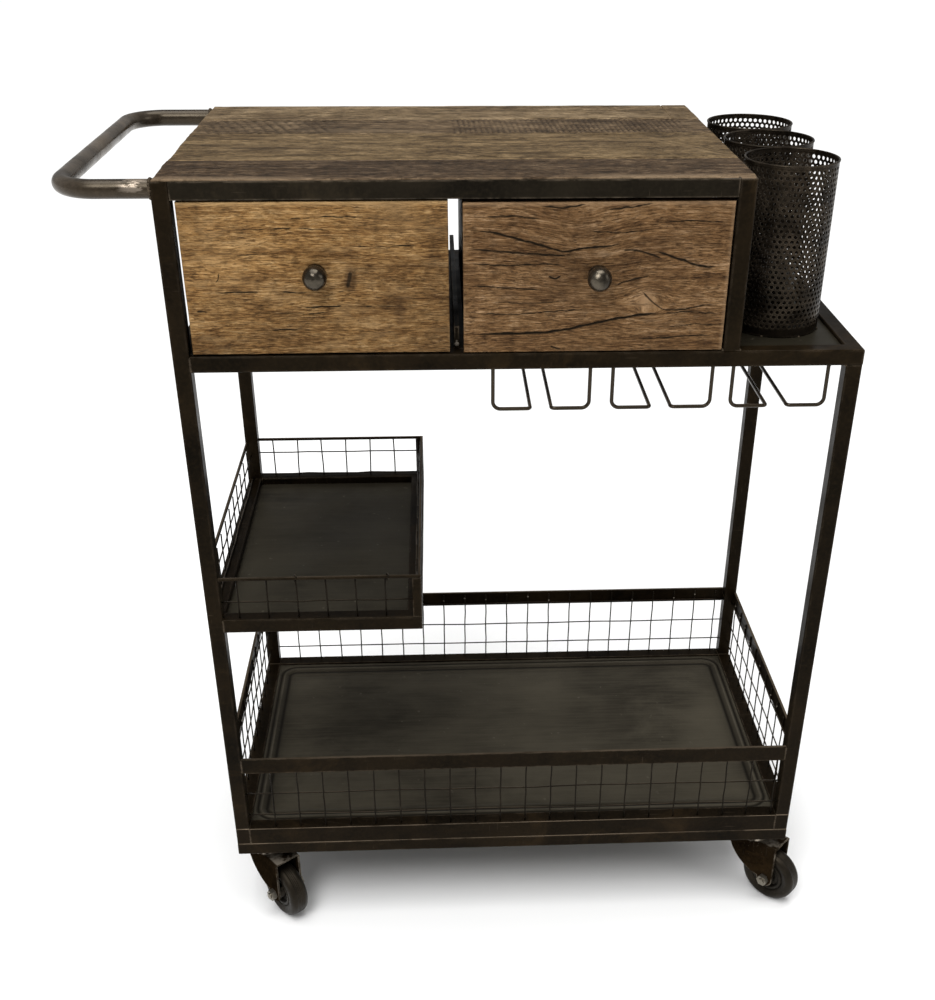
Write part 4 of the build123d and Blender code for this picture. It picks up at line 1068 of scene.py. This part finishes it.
def tray_level(x, y, low, high):
    """Height from the flange, painted shade and painted highlight: a groove, then a pan with rounded
    corners and a soft rim.
    """
    inset, radius = 21 * MM, 18 * MM
    reach = [abs(p - (a + b) / 2) - ((b - a) / 2 - inset - radius) for p, a, b in zip((x, y), low, high)]
    outside = hypot(*(max(r, 0) for r in reach)) + min(max(reach), 0)
    inward = radius - outside

    def line(middle, width):
        """1 on a line that follows the tray's edge, fading away from it."""
        return exp(-((inward - middle * MM) / (width * MM)) ** 2)

    groove, bead = line(-4.5, 2.2), line(11, 2.6)
    pan = 0.5 - 0.5 * cos(pi * min(max(inward / (7 * MM), 0), 1))
    # Painted shade: darker over the flange and in the groove, and along the pan's edge fading inwards.
    shade = 0.42 * exp(-max(inward - 8 * MM, 0) / (10 * MM)) if inward > 0 else 0.3
    # Painted highlight on the two ridges either side of the groove.
    ridge = line(-0.5, 1.2) + 0.6 * line(-8.5, 1.2)
    painted_shade = min(shade + 0.7 * groove + 0.6 * line(7, 2.4), 0.95)
    return -(1.2 * groove + 3 * pan - 0.9 * bead) * MM, painted_shade, 0.75 * ridge


def build_lower_tray():
    """The pressed floor sheet with its rounded pan, grooves and notched corners."""
    low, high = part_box("lower_tray")
    xs, ys = tray_lines(low.x, high.x), tray_lines(low.y, high.y)
    thickness = 1.5 * MM
    bm = bmesh.new()
    # Per-vertex amounts of painted shade, and of painted highlight on the ridges, for the tray's material.
    painted_shade_layer = bm.verts.layers.float.new("painted_shade")
    painted_ridge_highlight_layer = bm.verts.layers.float.new("painted_ridge_highlight")
    corners = {}

    def corner(i, j):
        if (i, j) not in corners:
            lift, painted_shade, painted_ridge_highlight = tray_level(xs[i], ys[j], low, high)
            corners[i, j] = [bm.verts.new((xs[i], ys[j], high.z + lift - down)) for down in (0, thickness)]
            for vertex in corners[i, j]:
                vertex[painted_shade_layer], vertex[painted_ridge_highlight_layer] = painted_shade, painted_ridge_highlight
        return corners[i, j]

    for i in range(len(xs) - 1):
        for j in range(len(ys) - 1):
            x, y = (xs[i] + xs[i + 1]) / 2, (ys[j] + ys[j + 1]) / 2
            if min(x - low.x, high.x - x) < NOTCH and min(y - low.y, high.y - y) < NOTCH:
                continue
            around = [corner(i, j), corner(i + 1, j), corner(i + 1, j + 1), corner(i, j + 1)]
            bm.faces.new([pair[0] for pair in around])
            bm.faces.new([pair[1] for pair in reversed(around)])
    lower = {top: bottom for top, bottom in corners.values()}
    for edge in [e for e in bm.edges if e.is_boundary and e.verts[0] in lower]:
        a, b = edge.verts
        bm.faces.new((a, b, lower[b], lower[a]))
    obj = from_bmesh("lower_tray_sheet", bm)
    obj.data.set_sharp_from_angle(angle=radians(40))
    place(obj, CART, lit_tray_steel, "sheet_steel", "lower_tray")


# ---- carried-over nodes
def paint_nodes():
    """Materials for the frame nodes that keep their own shape."""
    paints = {
        "top_frame": blackened_steel, "handle": handle_steel,
        "upper_rim": rim_steel, "lower_rim": rim_steel,
        # The shelf and the drawer boxes take the darker painted-shade copy of the sheet.
        "upper_tray": sheet_steel, "shelf_tray": shaded_sheet_steel,
        "drawer_left_box": shaded_sheet_steel, "drawer_right_box": shaded_sheet_steel,
    }
    for node, obj in frame["nodes"].items():
        if node.startswith("glass_slot"):
            material = rod_steel
        elif node.startswith("caster"):
            material = zinc_bolt if node.endswith("_axle") else caster_steel
        else:
            material = paints.get(node, frame_steel)
        obj.data.materials.clear()
        obj.data.materials.append(material)


# ---- stage
def build_stage():
    bm = bmesh.new()
    bmesh.ops.create_grid(bm, x_segments=1, y_segments=1, size=40)
    floor = from_bmesh("floor", bm, smooth=False)
    n = Nodes("floor_paint")
    tone = n.mix(n.noise(3, 2), (0.86, 0.86, 0.86), (0.89, 0.89, 0.885))
    floor.data.materials.append(n.finish(tone, 0.9))

    world = bpy.data.worlds.new("studio")
    world.use_nodes = True
    background = world.node_tree.nodes["Background"]
    background.inputs[0].default_value = (1, 1, 1, 1)
    background.inputs[1].default_value = 0.34
    bpy.context.scene.world = world

    def area(name, location, target, size_x, size_y, power):
        data = bpy.data.lights.new(name, "AREA")
        data.shape = "RECTANGLE"
        data.size, data.size_y, data.energy = size_x, size_y, power
        lamp = link(name, data)
        lamp.location = location
        lamp.rotation_euler = (Vector(target) - Vector(location)).to_track_quat("-Z", "Y").to_euler()

    area("key", (-0.9, -1.9, 2.9), (0, 0, 0.5), 1.3, 1.3, 58)
    area("fill", (2.4, -1, 1.8), (0, 0, 0.5), 1.4, 1.4, 13)
    data = bpy.data.lights.new("overhead", "SUN")
    data.energy, data.angle = 2.75, radians(50)
    link("overhead", data).location = (0, 0, 4)


def build_camera():
    """The viewing angle: a little above the cart, looking down at its front."""
    data = bpy.data.cameras.new("camera")
    data.sensor_width = 36
    data.lens = 44.35
    data.shift_x, data.shift_y = -0.0275, 0.085
    camera = link("camera", data)
    eye = Vector((266.9, -1185, 1090)) * MM + Vector((LEFT, FRONT, BASE))
    pose = Matrix.Translation(eye)
    for degrees, axis in ((-2.7258, "Z"), (-30.5539, "X"), (-0.2879, "Y"), (90, "X")):
        pose = pose @ Matrix.Rotation(radians(degrees), 4, axis)
    camera.matrix_world = pose
    bpy.context.scene.camera = camera
    bpy.context.scene.view_settings.view_transform = "Standard"


build_camera()
build_stage()
paint_nodes()
build_planks()
build_drawer_fronts()
build_knobs()
for cup_seed, cup_node in enumerate(CUPS):
    build_cup(cup_node, cup_seed)
build_all_mesh()
build_welds()
build_mesh_welds()
build_wheels()
build_lower_tray()
